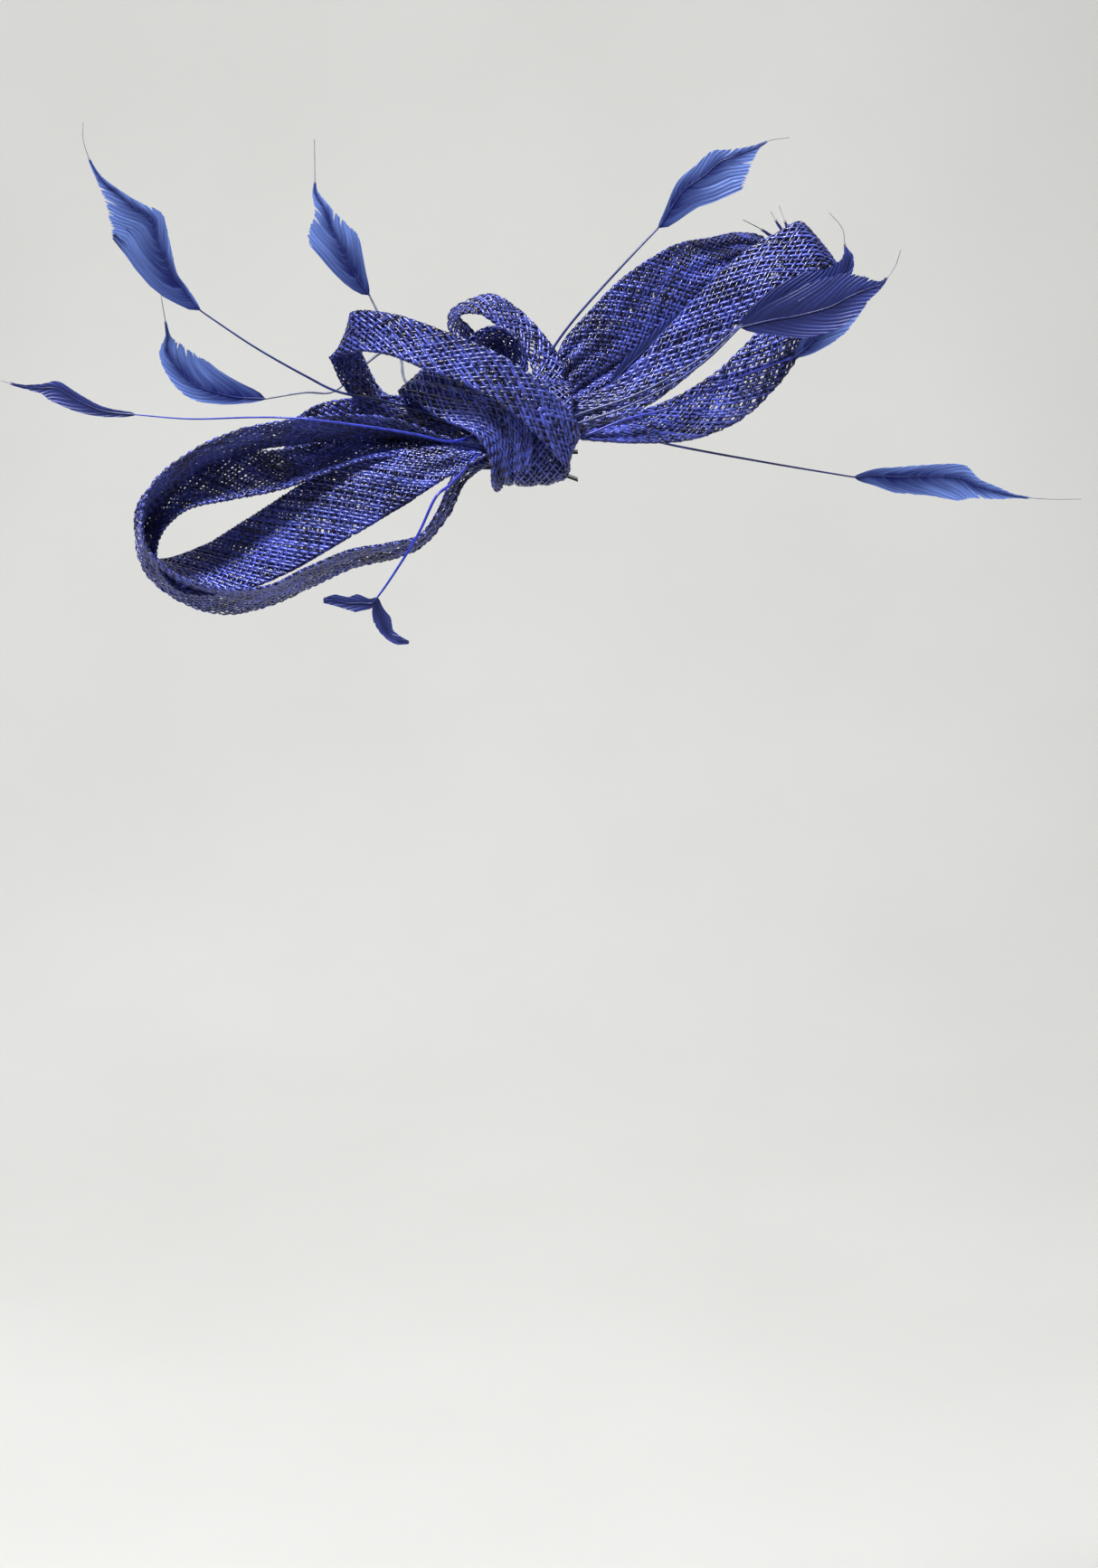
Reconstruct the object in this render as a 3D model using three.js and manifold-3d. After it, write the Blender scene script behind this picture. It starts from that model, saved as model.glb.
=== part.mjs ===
// Fascinator headpiece: a bow of woven ribbon loops and trimmed feathers gathered at a bound knot,
// sewn to a felt pad that carries a steel plate with a spring hair clip and a brooch pin.
// Millimetres. The origin lies on the flat underside of the clip's lower jaw, which rests on the
// head. +X runs along the bow, +Y to the back of the head and +Z up from the head.
import * as THREE from "three";
import { mergeVertices } from "three/addons/utils/BufferGeometryUtils.js";
import Module from "manifold-3d";

const wasm = await Module();
wasm.setup();

// ---------- driving dimensions ----------
const GAP = 0.3; // between pieces that touch
const RUNNING_GAP = 0.25; // radial, between a pin and what turns on it
const ROUND_SIDES = 16;
const CURVE_SEGMENTS = 7;

// ribbon
const RIBBON_THICKNESS = 1.0; // a strip folded double
const BROAD_RIBBON = 28;
const OUTER_RIBBON = 26;
const MIDDLE_RIBBON = 20;
const NARROW_RIBBON = 15;
const SLIM_RIBBON = 11.5;
const FOLDED_RIBBON = 16;
const RIBBON_STEPS = 3; // steps between two stations
const BACK_LOOP_SHARE = 0.8; // width of the left back loop against a broad ribbon

// how far each loop reaches from the knot
const LEFT_OUTER_REACH = 146;
const LEFT_INNER_REACH = 145;
const LEFT_BACK_REACH = 93.5;
const RIGHT_BACK_REACH = 111;
const RIGHT_FRONT_REACH = 124;
const FRONT_CURL_REACH = 71;
const BACK_CURL_REACH = 46.5;
const PLEAT_REACH = 40;
const FOLD_REACH = 29;
const WRAP_REACH = 30.5;

// knot
const KNOT_X = 2;
const KNOT_Y = 2;
const DRAWN_KNOT = [2, 2, 18]; // the knot's centre in the routes below
const CORE_HALF_LENGTH = 22;
const CORE_HALF_DEPTH = 16;
const CORE_HALF_HEIGHT = 8.5;
const BINDING_WIDTH = 5;
const BINDING_THICKNESS = 0.8;
const BINDING_X = 10;
const CORE_SEGMENTS = [20, 12]; // round and along the core

// feathers
const VANE_THICKNESS = 0.6;
const VANE_STEPS = 2; // steps between two stations
const QUILL_RADIUS = 0.5;
const QUILL_SIDES = 6;
const QUILL_STEPS = 2; // steps for each point of its route

// felt pad and steel plate
const PAD_RADIUS = 22;
const PAD_THICKNESS = 2;
const PAD_EDGE = 0.5; // chamfer round the pad
const PAD_SEGMENTS = 32;
const PLATE_RADIUS = 17;
const SHEET = 0.8; // thickness of the steel sheet
const PLATE_CENTRE_Y = 7;
const STITCH_ANGLES = [60, 120, 250, 290]; // degrees round the plate, clear of clip and brooch
const STITCH_RADIUS = 0.35;
const STITCH_SIDES = 8;
const STITCH_SPAN = 3.2; // between the two holes of a stitch
const STITCH_MARGIN = 2.2; // from the plate's rim to the holes

// hair clip
const CLIP_WIDTH = 9;
const JAW_LENGTH = 24; // from the origin to the tip
const TIP_WIDTH = 0.8;
const LEVER_LENGTH = 22; // from the origin to the end of the levers
const LEVER_DROP = 4.5; // how far the lower lever bends down
const CLIP_HINGE_X = 9;
const LEVER_BEND_PAST_HINGE = 1;
const CLIP_HEIGHT = 6.4; // top of the upper arm above the lower jaw's underside
const TIP_RISE = 4; // length over which the upper arm bends down to its tip
const CLIP_PIN_RADIUS = 0.8;
const TOOTH_COUNT = 5;
const TOOTH_PITCH = 1.6;
const TOOTH_HEIGHT = 0.45;
const RIVET_HEAD_RADIUS = 1.4;
const RIVET_HEAD_THICKNESS = 0.4;

// spring round the clip's pin
const SPRING_WIRE_RADIUS = 0.3;
const SPRING_TURNS = 3.5;
const SPRING_PITCH = 1.1;
const SPRING_SIDES = 6;
const SPRING_STEPS = 44;
const SPRING_LEG_SHORT = 4; // how far the legs end before the levers do

// brooch pin
const BROOCH_OFFSET_Y = 7; // from the plate's centre to the needle
const BROOCH_HALF_LENGTH = 10.5; // from the middle to the hinge and to the catch
const NEEDLE_RADIUS = 0.45;
const NEEDLE_OVERHANG = 3.5; // how far the point stands past the catch
const POINT_LENGTH = 3; // of the tapered end
const NEEDLE_SIDES = 12;
const BROOCH_PIN_RADIUS = 0.5;
const EYE_RADIUS = 1.35;
const EYE_WIDTH = 1.2;
const BRACKET_BASE = 0.6; // thickness of the bracket where it lies on the plate
const BRACKET_CHEEK = 0.6;
const CATCH_WALL = 0.6;
const CATCH_LENGTH = 2.4;
const CATCH_OPENING = Math.PI * 0.6; // angle left open downwards
const CATCH_TAB = 1.6; // how far the sleeve's finger tab stands out
const TAB_THICKNESS = 0.7;

// levels that follow from the sizes above, from the head upwards
const HINGE_Z = CLIP_HEIGHT / 2;
const EAR_RADIUS = HINGE_Z - SHEET - GAP;
const PLATE_Z = CLIP_HEIGHT + GAP;
const PAD_Z = PLATE_Z + SHEET + GAP;
const CORE_Z = PAD_Z + PAD_THICKNESS + GAP;
const KNOT = [KNOT_X, KNOT_Y, CORE_Z + CORE_HALF_HEIGHT];
const BROOCH_Y = PLATE_CENTRE_Y + BROOCH_OFFSET_Y;
const NEEDLE_Z = PLATE_Z - GAP - BRACKET_BASE - GAP - EYE_RADIUS;

// colours
const BLUE = { color: 0x1d2f9e, roughness: 0.55, metalness: 0 };
const DEEP_BLUE = { color: 0x131f6b, roughness: 0.7, metalness: 0 };
const FEATHER_BLUE = { color: 0x2440ae, roughness: 0.45, metalness: 0 };
const FELT = { color: 0x10142c, roughness: 0.95, metalness: 0 };
const STEEL = { color: 0xb8bcc2, roughness: 0.25, metalness: 1 };
const DARK_STEEL = { color: 0x26282f, roughness: 0.4, metalness: 0.2 };

// ---------- solids ----------
const headpiece = new THREE.Group();

function addPiece(name, geometry, look) {
  const mesh = new THREE.Mesh(geometry, new THREE.MeshStandardMaterial(look));
  mesh.name = name;
  headpiece.add(mesh);
}

function toSolid(geometry) {
  const bare = geometry.clone();
  bare.deleteAttribute("normal");
  bare.deleteAttribute("uv");
  const merged = mergeVertices(bare, 1e-5);
  const places = new Float32Array(merged.attributes.position.array);
  const corners = new Uint32Array(merged.index.array);
  return new wasm.Manifold(new wasm.Mesh({ numProp: 3, vertProperties: places, triVerts: corners }));
}

function toGeometry(solid) {
  const mesh = solid.getMesh();
  const geometry = new THREE.BufferGeometry();
  geometry.setAttribute("position", new THREE.BufferAttribute(mesh.vertProperties.slice(), 3));
  geometry.setIndex(new THREE.BufferAttribute(mesh.triVerts.slice(), 1));
  geometry.computeVertexNormals();
  return geometry;
}

const join = (...geometries) => geometries.map(toSolid).reduce((sum, piece) => sum.add(piece));

// what is left of a solid once the cutters are taken away, without its loose scraps
function trimmed(solid, cutters) {
  const rest = cutters.reduce((left, cutter) => left.subtract(cutter), solid);
  return rest.decompose().reduce((a, b) => (b.volume() > a.volume() ? b : a));
}

// ---------- strips: ribbons and feather vanes ----------
const point = (x, y) => new THREE.Vector2(x, y);
const vector = (values) => new THREE.Vector3(...values);
const smooth = (points) => new THREE.CatmullRomCurve3(points, false, "centripetal");

// a closed strip along the stations; each has a centre, an across direction and a width
function strip(stations, thickness, extra = 0, stepsBetween = RIBBON_STEPS) {
  const steps = (stations.length - 1) * stepsBetween;
  const centres = smooth(stations.map((s) => s.centre));
  const acrosses = smooth(stations.map((s) => s.across));
  const widths = smooth(stations.map((s, i) => new THREE.Vector3(i, s.width, 0)));
  const geometry = new THREE.BoxGeometry(1, 1, 1, steps, 1, 1);
  const places = geometry.attributes.position;
  for (let i = 0; i < places.count; i++) {
    const t = places.getX(i) + 0.5;
    const across = acrosses.getPoint(t).normalize();
    const along = centres.getTangent(t);
    const normal = along.clone().cross(across).normalize();
    const width = widths.getPoint(t).y + 2 * extra;
    const place = centres.getPoint(t);
    place.addScaledVector(across, places.getY(i) * width);
    place.addScaledVector(normal, places.getZ(i) * (thickness + 2 * extra));
    places.setXYZ(i, place.x, place.y, place.z);
  }
  return geometry;
}

// a ribbon's stations, with its route scaled about the knot so that it reaches as far as stated
function ribbonStations({ reach, width, route }) {
  const drawnKnot = vector(DRAWN_KNOT);
  const furthest = Math.max(...route.map(([x, y, z]) => drawnKnot.distanceTo(vector([x, y, z]))));
  return route.map(([x, y, z, ax, ay, az, share = 1]) => ({
    centre: vector([x, y, z]).sub(drawnKnot).multiplyScalar(reach / furthest).add(vector(KNOT)),
    across: vector([ax, ay, az]).normalize(),
    width: width * share,
  }));
}

// Each route holds stations from the knot round the loop and back: the middle of the ribbon,
// the direction across it, and the share of its width where it is gathered.
const RIBBONS = {
  front_curl_ribbon: {
    reach: FRONT_CURL_REACH, width: NARROW_RIBBON, route: [
      [15, -15, 3, 0.7, -0.3, 0.7, 0.7], [20, -24, 8, 0.3, 0.1, 0.9], [9, -27, 22, 0.5, 0.1, 0.8],
      [-2, -26, 31, 0.5, 0.2, 0.8], [-13, -24, 37, 0.5, 0.2, 0.9], [-29, -20, 43, 0.4, 0.2, 0.9],
      [-44, -14, 48, 0.1, 0.3, 0.9], [-57, -6, 49, 0, 0.3, 0.9], [-63, 2, 46, 0.4, 0.3, 0.9],
      [-62, 9, 39, 0.7, 0.7, 0.1], [-56, 10, 27, 0.9, 0.5, -0.1], [-47, 9, 21, 0.9, 0.2, 0.2],
      [-34, 6, 16, 0.9, -0.2, 0.4, 0.6],
    ],
  },
  centre_wrap_ribbon: {
    reach: WRAP_REACH, width: MIDDLE_RIBBON, route: [
      [10, 17, 24, 1, 0, 0], [9, 4, 30, 1, 0, 0], [10, -13, 27, 1, 0, 0], [9, -21, 11, 1, 0, 0.1],
      [9, -21, -1, 1, 0.1, 0.1], [8, -17, -4, 1, 0.1, 0.1, 0.8], [8, -15.5, 3, 1, 0, 0.1, 0.7],
    ],
  },
  pleated_ribbon: {
    reach: PLEAT_REACH, width: BROAD_RIBBON, route: [
      [-1, -18, -5, 0.9, 0, 0.3, 0.5], [-2, -23, -1, 0.9, -0.1, 0.4, 0.55], [-2, -24, 9, 0.9, 0, 0.5, 0.6],
      [-7, -22, 20, 0.8, 0, 0.6, 0.75], [-20, -16, 29, 0.7, 0, 0.7, 0.95], [-32, -6, 38, 0.7, 0, 0.7],
      [-32, 6, 34, 0.7, 0, 0.7], [-23, 11, 25, 0.8, 0, 0.6, 0.9], [-14, 9, 20, 0.8, -0.1, 0.6, 0.6],
    ],
  },
  left_outer_ribbon: {
    reach: LEFT_OUTER_REACH, width: OUTER_RIBBON, route: [
      [-9, -15, 8, 0.2, 0.9, -0.3, 0.4], [-23, -9, 9, 0.1, 1, -0.3, 0.7],
      [-43, -9, 14, 0, 0.9, -0.4, 0.85], [-63, -11, 15, -0.1, 0.9, -0.4],
      [-85, -13, 13, -0.1, 0.9, -0.4], [-100, -14, 10, -0.1, 0.9, -0.4], [-116, -15, 3, -0.1, 0.9, -0.4],
      [-128, -16, -7, 0, 0.9, -0.4], [-136, -16, -19, -0.2, 0.9, -0.3], [-134, -17, -32, -0.2, 0.9, -0.4],
      [-123, -17, -42, -0.1, 0.9, -0.5], [-108, -17, -47, -0.1, 0.9, -0.5],
      [-90, -18, -45, -0.1, 0.9, -0.4],
      [-75, -20, -38, 0, 0.9, -0.4, 0.9], [-59, -22, -31, 0, 0.9, -0.4, 0.8],
      [-45, -24, -28, 0, 0.9, -0.4, 0.7], [-34, -25, -24, 0, 0.9, -0.3, 0.65],
      [-26, -24, -14, 0.2, 1, -0.2, 0.6], [-20, -19, -2, 0.2, 0.9, -0.3, 0.5],
      [-8, -17, 6, 0.2, 0.9, -0.3, 0.4],
    ],
  },
  left_inner_ribbon: {
    reach: LEFT_INNER_REACH, width: BROAD_RIBBON, route: [
      [-10, -16, 11, -0.1, 0.6, 0.7, 0.4], [-24, -9, 12, -0.1, 0.9, 0.4, 0.6],
      [-40, -8, 9, 0, 0.9, 0.3, 0.7], [-55, -9, 8, -0.1, 0.9, 0.3, 0.85],
      [-86, -11, 0, -0.1, 0.9, 0.5, 0.9], [-103, -12, -2, -0.1, 0.8, 0.6, 0.9],
      [-121, -12, -7, -0.2, 0.8, 0.5, 0.9],
      [-133, -11, -18, -0.4, 0.8, 0.4, 0.9], [-134, -11, -30, -0.4, 0.9, 0.2, 0.95],
      [-127, -11, -38, -0.4, 0.9, 0.3], [-109, -12, -36, -0.4, 0.7, 0.5],
      [-90, -16, -27, -0.6, 0.5, 0.6],
      [-67, -20, -13, -0.6, 0.4, 0.6], [-47, -21, -3, -0.6, 0.4, 0.7, 0.85],
      [-27, -19, 4, -0.5, 0.6, 0.6, 0.55],
      [-12, -17, 7, -0.4, 0.6, 0.6, 0.4],
    ],
  },
  left_back_ribbon: {
    reach: LEFT_BACK_REACH, width: BROAD_RIBBON * BACK_LOOP_SHARE, route: [
      [-24, 6, 20, 0, 0, 1, 0.5], [-57, 10, 15, 0, 0.1, 1, 0.85], [-74, 14, 10, 0, 0.1, 1],
      [-86, 19, 2, 0, 0.1, 1], [-86, 28, 1, 0, 0.1, 1], [-65, 31, 11, 0, 0.1, 1, 0.8],
      [-28, 20, 18, 0, 0.2, 1, 0.5],
    ],
  },
  right_front_ribbon: {
    reach: RIGHT_FRONT_REACH, width: MIDDLE_RIBBON, route: [
      [20, -9, 19, -0.4, 0.2, 0.9, 0.55], [39, -10, 26, -0.6, 0.4, 0.7, 0.7],
      [56, -7, 40, -0.5, 0.3, 0.8, 0.9],
      [73, -4, 57, -0.5, 0.4, 0.8], [87, -2, 70, -0.5, 0.5, 0.7], [98, 1, 76, -0.4, 0.5, 0.8],
      [107, 4, 80, -0.5, 0.5, 0.8], [113, 10, 73, -0.4, 0.8, 0.5], [110, 15, 61, -0.4, 0.8, 0.5],
      [99, 17, 47, -0.5, 0.6, 0.6], [89, 17, 35, -0.6, 0.4, 0.7], [77, 16, 24, -0.6, 0.3, 0.8],
      [60, 13, 16, -0.5, 0.2, 0.8, 0.85], [42, 10, 13, -0.5, 0.2, 0.9, 0.6],
      [22, 7, 13, -0.3, 0.3, 0.9, 0.4],
    ],
  },
  right_back_ribbon: {
    reach: RIGHT_BACK_REACH, width: BROAD_RIBBON, route: [
      [14, 6, 26, -0.4, 0.4, 0.8, 0.4], [20, 9, 37, -0.4, 0.3, 0.9, 0.6],
      [29, 11, 45, -0.3, 0.2, 0.9, 0.75],
      [43, 13, 56, -0.3, 0.1, 0.9, 0.9], [58, 15, 66, -0.2, 0.1, 1, 0.9],
      [73, 18, 73, -0.3, 0.2, 0.9, 0.65],
      [84, 26, 76, -0.3, 0.2, 0.9, 0.55], [92, 36, 73, -0.1, 0, 1, 0.55], [86, 44, 64, -0.3, 0, 1, 0.6],
      [59, 43, 47, -0.3, 0.1, 1, 0.6], [30, 32, 31, -0.3, 0.3, 0.9, 0.55],
      [14, 18, 23, -0.3, 0.3, 0.9, 0.4],
    ],
  },
  back_curl_ribbon: {
    reach: BACK_CURL_REACH, width: SLIM_RIBBON, route: [
      [11, -5, 28, 1, 0.2, 0.1], [11, 1, 36, 1, 0.2, 0.1], [5, 6, 45, 0.8, 0.5, 0.4],
      [-3, 10, 53, 0.6, 0.6, 0.6],
      [-11, 11, 58, 0.4, 0.7, 0.6], [-19, 15, 57, 0.2, 0.9, 0.4], [-23, 18, 54, -0.3, 0.9, 0.2],
      [-21, 21, 48, -0.8, 0.6, 0], [-15, 17, 34, -0.9, 0.5, 0], [-8, 12, 26, -0.9, 0.5, 0],
    ],
  },
  fold_ribbon: {
    reach: FOLD_REACH, width: FOLDED_RIBBON, route: [
      [-13, 3, 31, 0.5, 0.7, 0.2, 0.8], [-15, 3, 38, 0.6, 0.7, -0.2], [-12, 3, 43.5, 0.4, 0.7, -0.6],
      [-7, 3, 45, 0, 0.7, -0.7], [-3, 3, 42, -0.4, 0.7, -0.5], [-1, 3, 37, -0.6, 0.7, -0.1, 0.9],
      [-1, 3, 31, -0.5, 0.7, 0.2, 0.8],
    ],
  },
};

// ---------- feathers ----------
// Each quill runs from the knot out to the base of its vane. A vane's stations hold the middle
// of the blade and its width there, from its base to the hair at its tip.
const FEATHERS = {
  feather_top_left: {
    quill: [[-17, 4, 15], [-47, 5, 23], [-66, 5, 27], [-76, 4, 32], [-95, 2, 43], [-114, 0, 56]],
    vane: [
      [-114, 0, 56, 1.4], [-120, 0, 62, 5], [-125, -1, 66, 9], [-129, -2, 71, 14.5], [-133, -3, 78, 19],
      [-135, -4, 85, 20.5], [-139, -5, 90, 13.5], [-143, -6, 96, 7], [-148, -7, 103, 2],
      [-151, -7, 109, 0.8],
      [-153, -7, 116, 0.6], [-153, -6, 122, 0.6],
    ],
  },
  feather_top: {
    quill: [[-24, 8, 18], [-41, 12, 30], [-43, 14, 39], [-51, 14, 55], [-54, 14, 61]],
    vane: [
      [-54, 14, 61, 1.4], [-58, 13, 65, 9.5], [-62, 12, 71, 15], [-66, 11, 79, 18], [-69, 11, 85, 14.5],
      [-70, 11, 91, 6.5], [-73, 12, 98, 2], [-73, 12, 101, 0.8], [-73, 13, 117, 0.6],
    ],
  },
  feather_left_middle: {
    quill: [[-27, 12, 31], [-47, 16, 41], [-56, 18, 36], [-68, 18, 26], [-78, 12, 26], [-92, 8, 24]],
    vane: [
      [-92, 8, 24, 1.4], [-99, 8, 25, 5.5], [-107, 7, 27, 10.5], [-116, 6, 31, 15], [-122, 6, 36, 13],
      [-126, 6, 42, 9], [-127, 7, 47, 1.6], [-128, 7, 54, 0.6], [-129, 7, 61, 0.6],
    ],
  },
  feather_far_left: {
    quill: [[-8, -8, 16], [-15, -15, 13], [-23, -22, 11], [-36, -27, 14], [-53, -30, 17], [-79, -31, 20],
      [-93, -28, 20], [-116, -22, 19], [-136, -16, 20]],
    vane: [
      [-136, -16, 20, 1.4], [-148, -15, 21, 3.6], [-157, -14, 24, 6.2], [-165, -13, 28, 7.6],
      [-170, -13, 29, 3.4],
      [-177, -14, 30, 1.2], [-184, -15, 32, 0.6],
    ],
  },
  feather_top_right: {
    quill: [[2, 5, 24], [12, 4, 41], [20, 4, 52], [42, 8, 76], [51, 12, 85]],
    vane: [
      [51, 12, 85, 1.4], [56, 12, 90, 6.5], [62, 11, 96, 14], [69, 10, 100, 17.5], [75, 10, 105, 18],
      [79, 10, 108, 12], [83, 11, 111, 6], [87, 12, 114, 1.6], [91, 12, 116, 0.6], [98, 13, 117, 0.6],
    ],
  },
  feather_right_upper: {
    quill: [[9, -14, 13], [22, -16, 20], [42, -17, 27], [64, -16, 39], [79, -14, 51]],
    vane: [
      [79, -14, 51, 1.6], [86, -14, 56, 6], [95, -14, 61, 10.5], [103, -15, 64, 12], [111, -16, 67, 9.5],
      [116, -16, 72, 6.5], [117, -16, 76, 3.4], [116, -15, 79, 0.8], [115, -15, 85, 0.6],
      [110, -14, 91, 0.6],
    ],
  },
  feather_right_middle: {
    quill: [[9, -18, 14], [24, -21, 18], [43, -22, 25], [65, -22, 38], [79, -20, 51]],
    vane: [
      [79, -20, 51, 1.6], [89, -20, 54, 12], [99, -20, 56, 18.5], [110, -21, 59, 18.5], [118, -22, 63, 15],
      [124, -22, 65, 7.5], [128, -22, 66, 2.4], [130, -22, 68, 0.8], [133, -21, 72, 0.6],
      [135, -21, 78, 0.6],
    ],
  },
  feather_right_lower: {
    quill: [[12, 0, 10], [23, -1, 11], [39, 1, 17], [55, 2, 21], [81, -3, 33], [99, -10, 40]],
    vane: [
      [99, -10, 40, 1.4], [104, -11, 44, 6], [109, -12, 49, 10.5], [114, -13, 53, 10.5], [119, -14, 56, 6],
      [123, -14, 58, 1],
    ],
  },
  feather_far_right: {
    quill: [[14, 8, 13], [36, 22, 11], [57, 22, 6], [92, 16, 0], [124, 12, -5]],
    vane: [
      [124, 12, -5, 1.4], [131, 12, -5, 6], [139, 12, -6, 9.5], [152, 11, -6, 11.5], [163, 11, -7, 13.5],
      [169, 11, -9, 7.5], [178, 11, -11, 4], [184, 11, -12, 1.2], [196, 11, -13, 0.6], [208, 11, -13, 0.6],
    ],
  },
  feather_front_blade: {
    quill: [[16, 0, 22], [26, 0, 25], [33, 1, 28]],
    vane: [[33, 1, 28, 1.5], [38, 1, 34, 5], [45, 1, 41, 6], [53, 1, 49, 4.5], [60, 1, 56, 1]],
  },
};

// A fishtail and a tuft of wisps are each several blades that spread from one point.
const SPREAD_FEATHERS = {
  feather_fishtail: {
    quill: [[-14, -20, 6], [-24, -29, -4], [-28, -32, -7], [-35, -36, -21], [-46, -41, -38], [-49, -42, -42]],
    blades: [
      [[-49, -42, -42, 3], [-51, -42, -44, 6.5], [-55, -42, -44, 7], [-60, -42, -44, 4.4],
        [-64, -42, -43, 4], [-68, -43, -43, 1.6]],
      [[-49, -42, -42, 3], [-49, -42, -46, 7], [-47, -42, -51, 6], [-45, -42, -55, 4], [-42, -43, -57, 3.4],
        [-38, -43, -58, 1]],
    ],
  },
  feather_wisps: {
    quill: [[86, 14, 66], [95, 15, 74], [101, 16, 79]],
    blades: [
      [[101, 16, 79, 1], [97, 16, 81, 1.6], [93, 16, 82, 1.2], [88, 16, 85, 0.8], [82, 16, 88, 0.5]],
      [[101, 16, 79, 1], [98, 16, 82, 1.4], [95, 16, 86, 1], [92, 16, 91, 0.5]],
      [[101, 16, 79, 1], [99, 16, 83, 1.2], [97, 16, 88, 0.8], [95, 16, 93, 0.5]],
    ],
  },
};

const VANE_FACING = new THREE.Vector3(0.05, -1, 0.12);

function polygon(radius, sides) {
  const angles = Array.from({ length: sides }, (_, i) => (2 * Math.PI * i) / sides);
  return new THREE.Shape(angles.map((a) => point(radius * Math.cos(a), radius * Math.sin(a))));
}

function vaneStrip(vane) {
  const middle = smooth(vane.map(([x, y, z]) => vector([x, y, z])));
  const stations = vane.map(([x, y, z, width], i) => ({
    centre: vector([x, y, z]),
    across: middle.getTangent(i / (vane.length - 1)).cross(VANE_FACING).normalize(),
    width,
  }));
  return strip(stations, VANE_THICKNESS, 0, VANE_STEPS);
}

function quillTube(quill, blade) {
  const points = [...quill, ...blade.slice(1, 3).map(([x, y, z]) => [x, y, z])];
  return new THREE.ExtrudeGeometry(polygon(QUILL_RADIUS, QUILL_SIDES), {
    steps: points.length * QUILL_STEPS,
    bevelEnabled: false,
    extrudePath: smooth(points.map(vector)),
  });
}

// from where they are drawn to where the knot is
const toKnot = (geometry) => geometry.translate(...KNOT.map((value, i) => value - DRAWN_KNOT[i]));

// ---------- clip, plate and brooch ----------
// a plate with its outline in the XZ plane, centred on y
function sidePlate(outline, width, y) {
  const shape = outline instanceof THREE.Shape ? outline : new THREE.Shape(outline);
  const plate = new THREE.ExtrudeGeometry(shape, {
    depth: width, bevelEnabled: false, curveSegments: CURVE_SEGMENTS,
  });
  return plate.rotateX(Math.PI / 2).translate(0, y + width / 2, 0);
}

// a bar along X with its section in the YZ plane, starting at x
function alongX(shape, length, x, y, z) {
  const bar = new THREE.ExtrudeGeometry(shape, {
    depth: length, bevelEnabled: false, curveSegments: CURVE_SEGMENTS,
  });
  const turn = new THREE.Matrix4().makeBasis(vector([0, 1, 0]), vector([0, 0, 1]), vector([1, 0, 0]));
  return bar.applyMatrix4(turn).translate(x, y, z);
}

const round = (radius, length, sides = ROUND_SIDES) => (
  new THREE.CylinderGeometry(radius, radius, length, sides)
);

// ---------- the knot ----------
function ellipsoid(extra) {
  const shape = new THREE.SphereGeometry(1, ...CORE_SEGMENTS);
  shape.scale(CORE_HALF_LENGTH + extra, CORE_HALF_DEPTH + extra, CORE_HALF_HEIGHT + extra);
  return shape.translate(...KNOT);
}

// a flat ring of thread round the core; with extra it is the filled outline that neighbours clear
function binding(extra) {
  const ratio = Math.sqrt(1 - ((Math.abs(BINDING_X - KNOT_X) - BINDING_WIDTH / 2) / CORE_HALF_LENGTH) ** 2);
  const depth = CORE_HALF_DEPTH * ratio + GAP;
  const height = CORE_HALF_HEIGHT * ratio + GAP;
  const wall = BINDING_THICKNESS + extra;
  const ring = new THREE.Shape().absellipse(0, 0, depth + wall, height + wall, 0, 2 * Math.PI);
  if (extra === 0) ring.holes.push(new THREE.Path().absellipse(0, 0, depth, height, 0, 2 * Math.PI));
  const length = BINDING_WIDTH + 2 * extra;
  return alongX(ring, length, BINDING_X - length / 2, KNOT_Y, KNOT[2]);
}

// the pad, widened by extra, with everything under it down to the head
function padAndBelow(extra) {
  const top = PAD_Z + PAD_THICKNESS + extra;
  const disc = round(PAD_RADIUS + extra, top, PAD_SEGMENTS).rotateX(Math.PI / 2);
  return disc.translate(0, PLATE_CENTRE_Y, top / 2);
}

addPiece("bound_core", ellipsoid(0), DEEP_BLUE);
addPiece("binding_thread", toGeometry(toSolid(binding(0)).subtract(toSolid(padAndBelow(GAP)))), DEEP_BLUE);
const cutters = [toSolid(ellipsoid(GAP)), toSolid(binding(GAP)), toSolid(padAndBelow(GAP))];

// ---------- the ribbons: each one is cut clear of the knot and of those before it ----------
for (const [name, ribbon] of Object.entries(RIBBONS)) {
  const stations = ribbonStations(ribbon);
  const solid = trimmed(toSolid(strip(stations, RIBBON_THICKNESS)), cutters);
  addPiece(name, toGeometry(solid), BLUE);
  cutters.push(toSolid(strip(stations, RIBBON_THICKNESS, GAP)));
}

// ---------- the feathers ----------
for (const [name, { quill, vane }] of Object.entries(FEATHERS)) {
  const feather = join(toKnot(vaneStrip(vane)), toKnot(quillTube(quill, vane)));
  addPiece(name, toGeometry(trimmed(feather, cutters)), FEATHER_BLUE);
}
for (const [name, { quill, blades }] of Object.entries(SPREAD_FEATHERS)) {
  const parts = [...blades.map(vaneStrip), quillTube(quill, blades[0])];
  addPiece(name, toGeometry(trimmed(join(...parts.map(toKnot)), cutters)), FEATHER_BLUE);
}

// ---------- felt pad and steel plate ----------
const padProfile = [
  point(0, 0), point(PAD_RADIUS, 0), point(PAD_RADIUS, PAD_THICKNESS - PAD_EDGE),
  point(PAD_RADIUS - PAD_EDGE, PAD_THICKNESS), point(0, PAD_THICKNESS),
];
const pad = new THREE.LatheGeometry(padProfile, PAD_SEGMENTS).rotateX(Math.PI / 2);
addPiece("felt_pad", pad.translate(0, PLATE_CENTRE_Y, PAD_Z), FELT);

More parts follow.
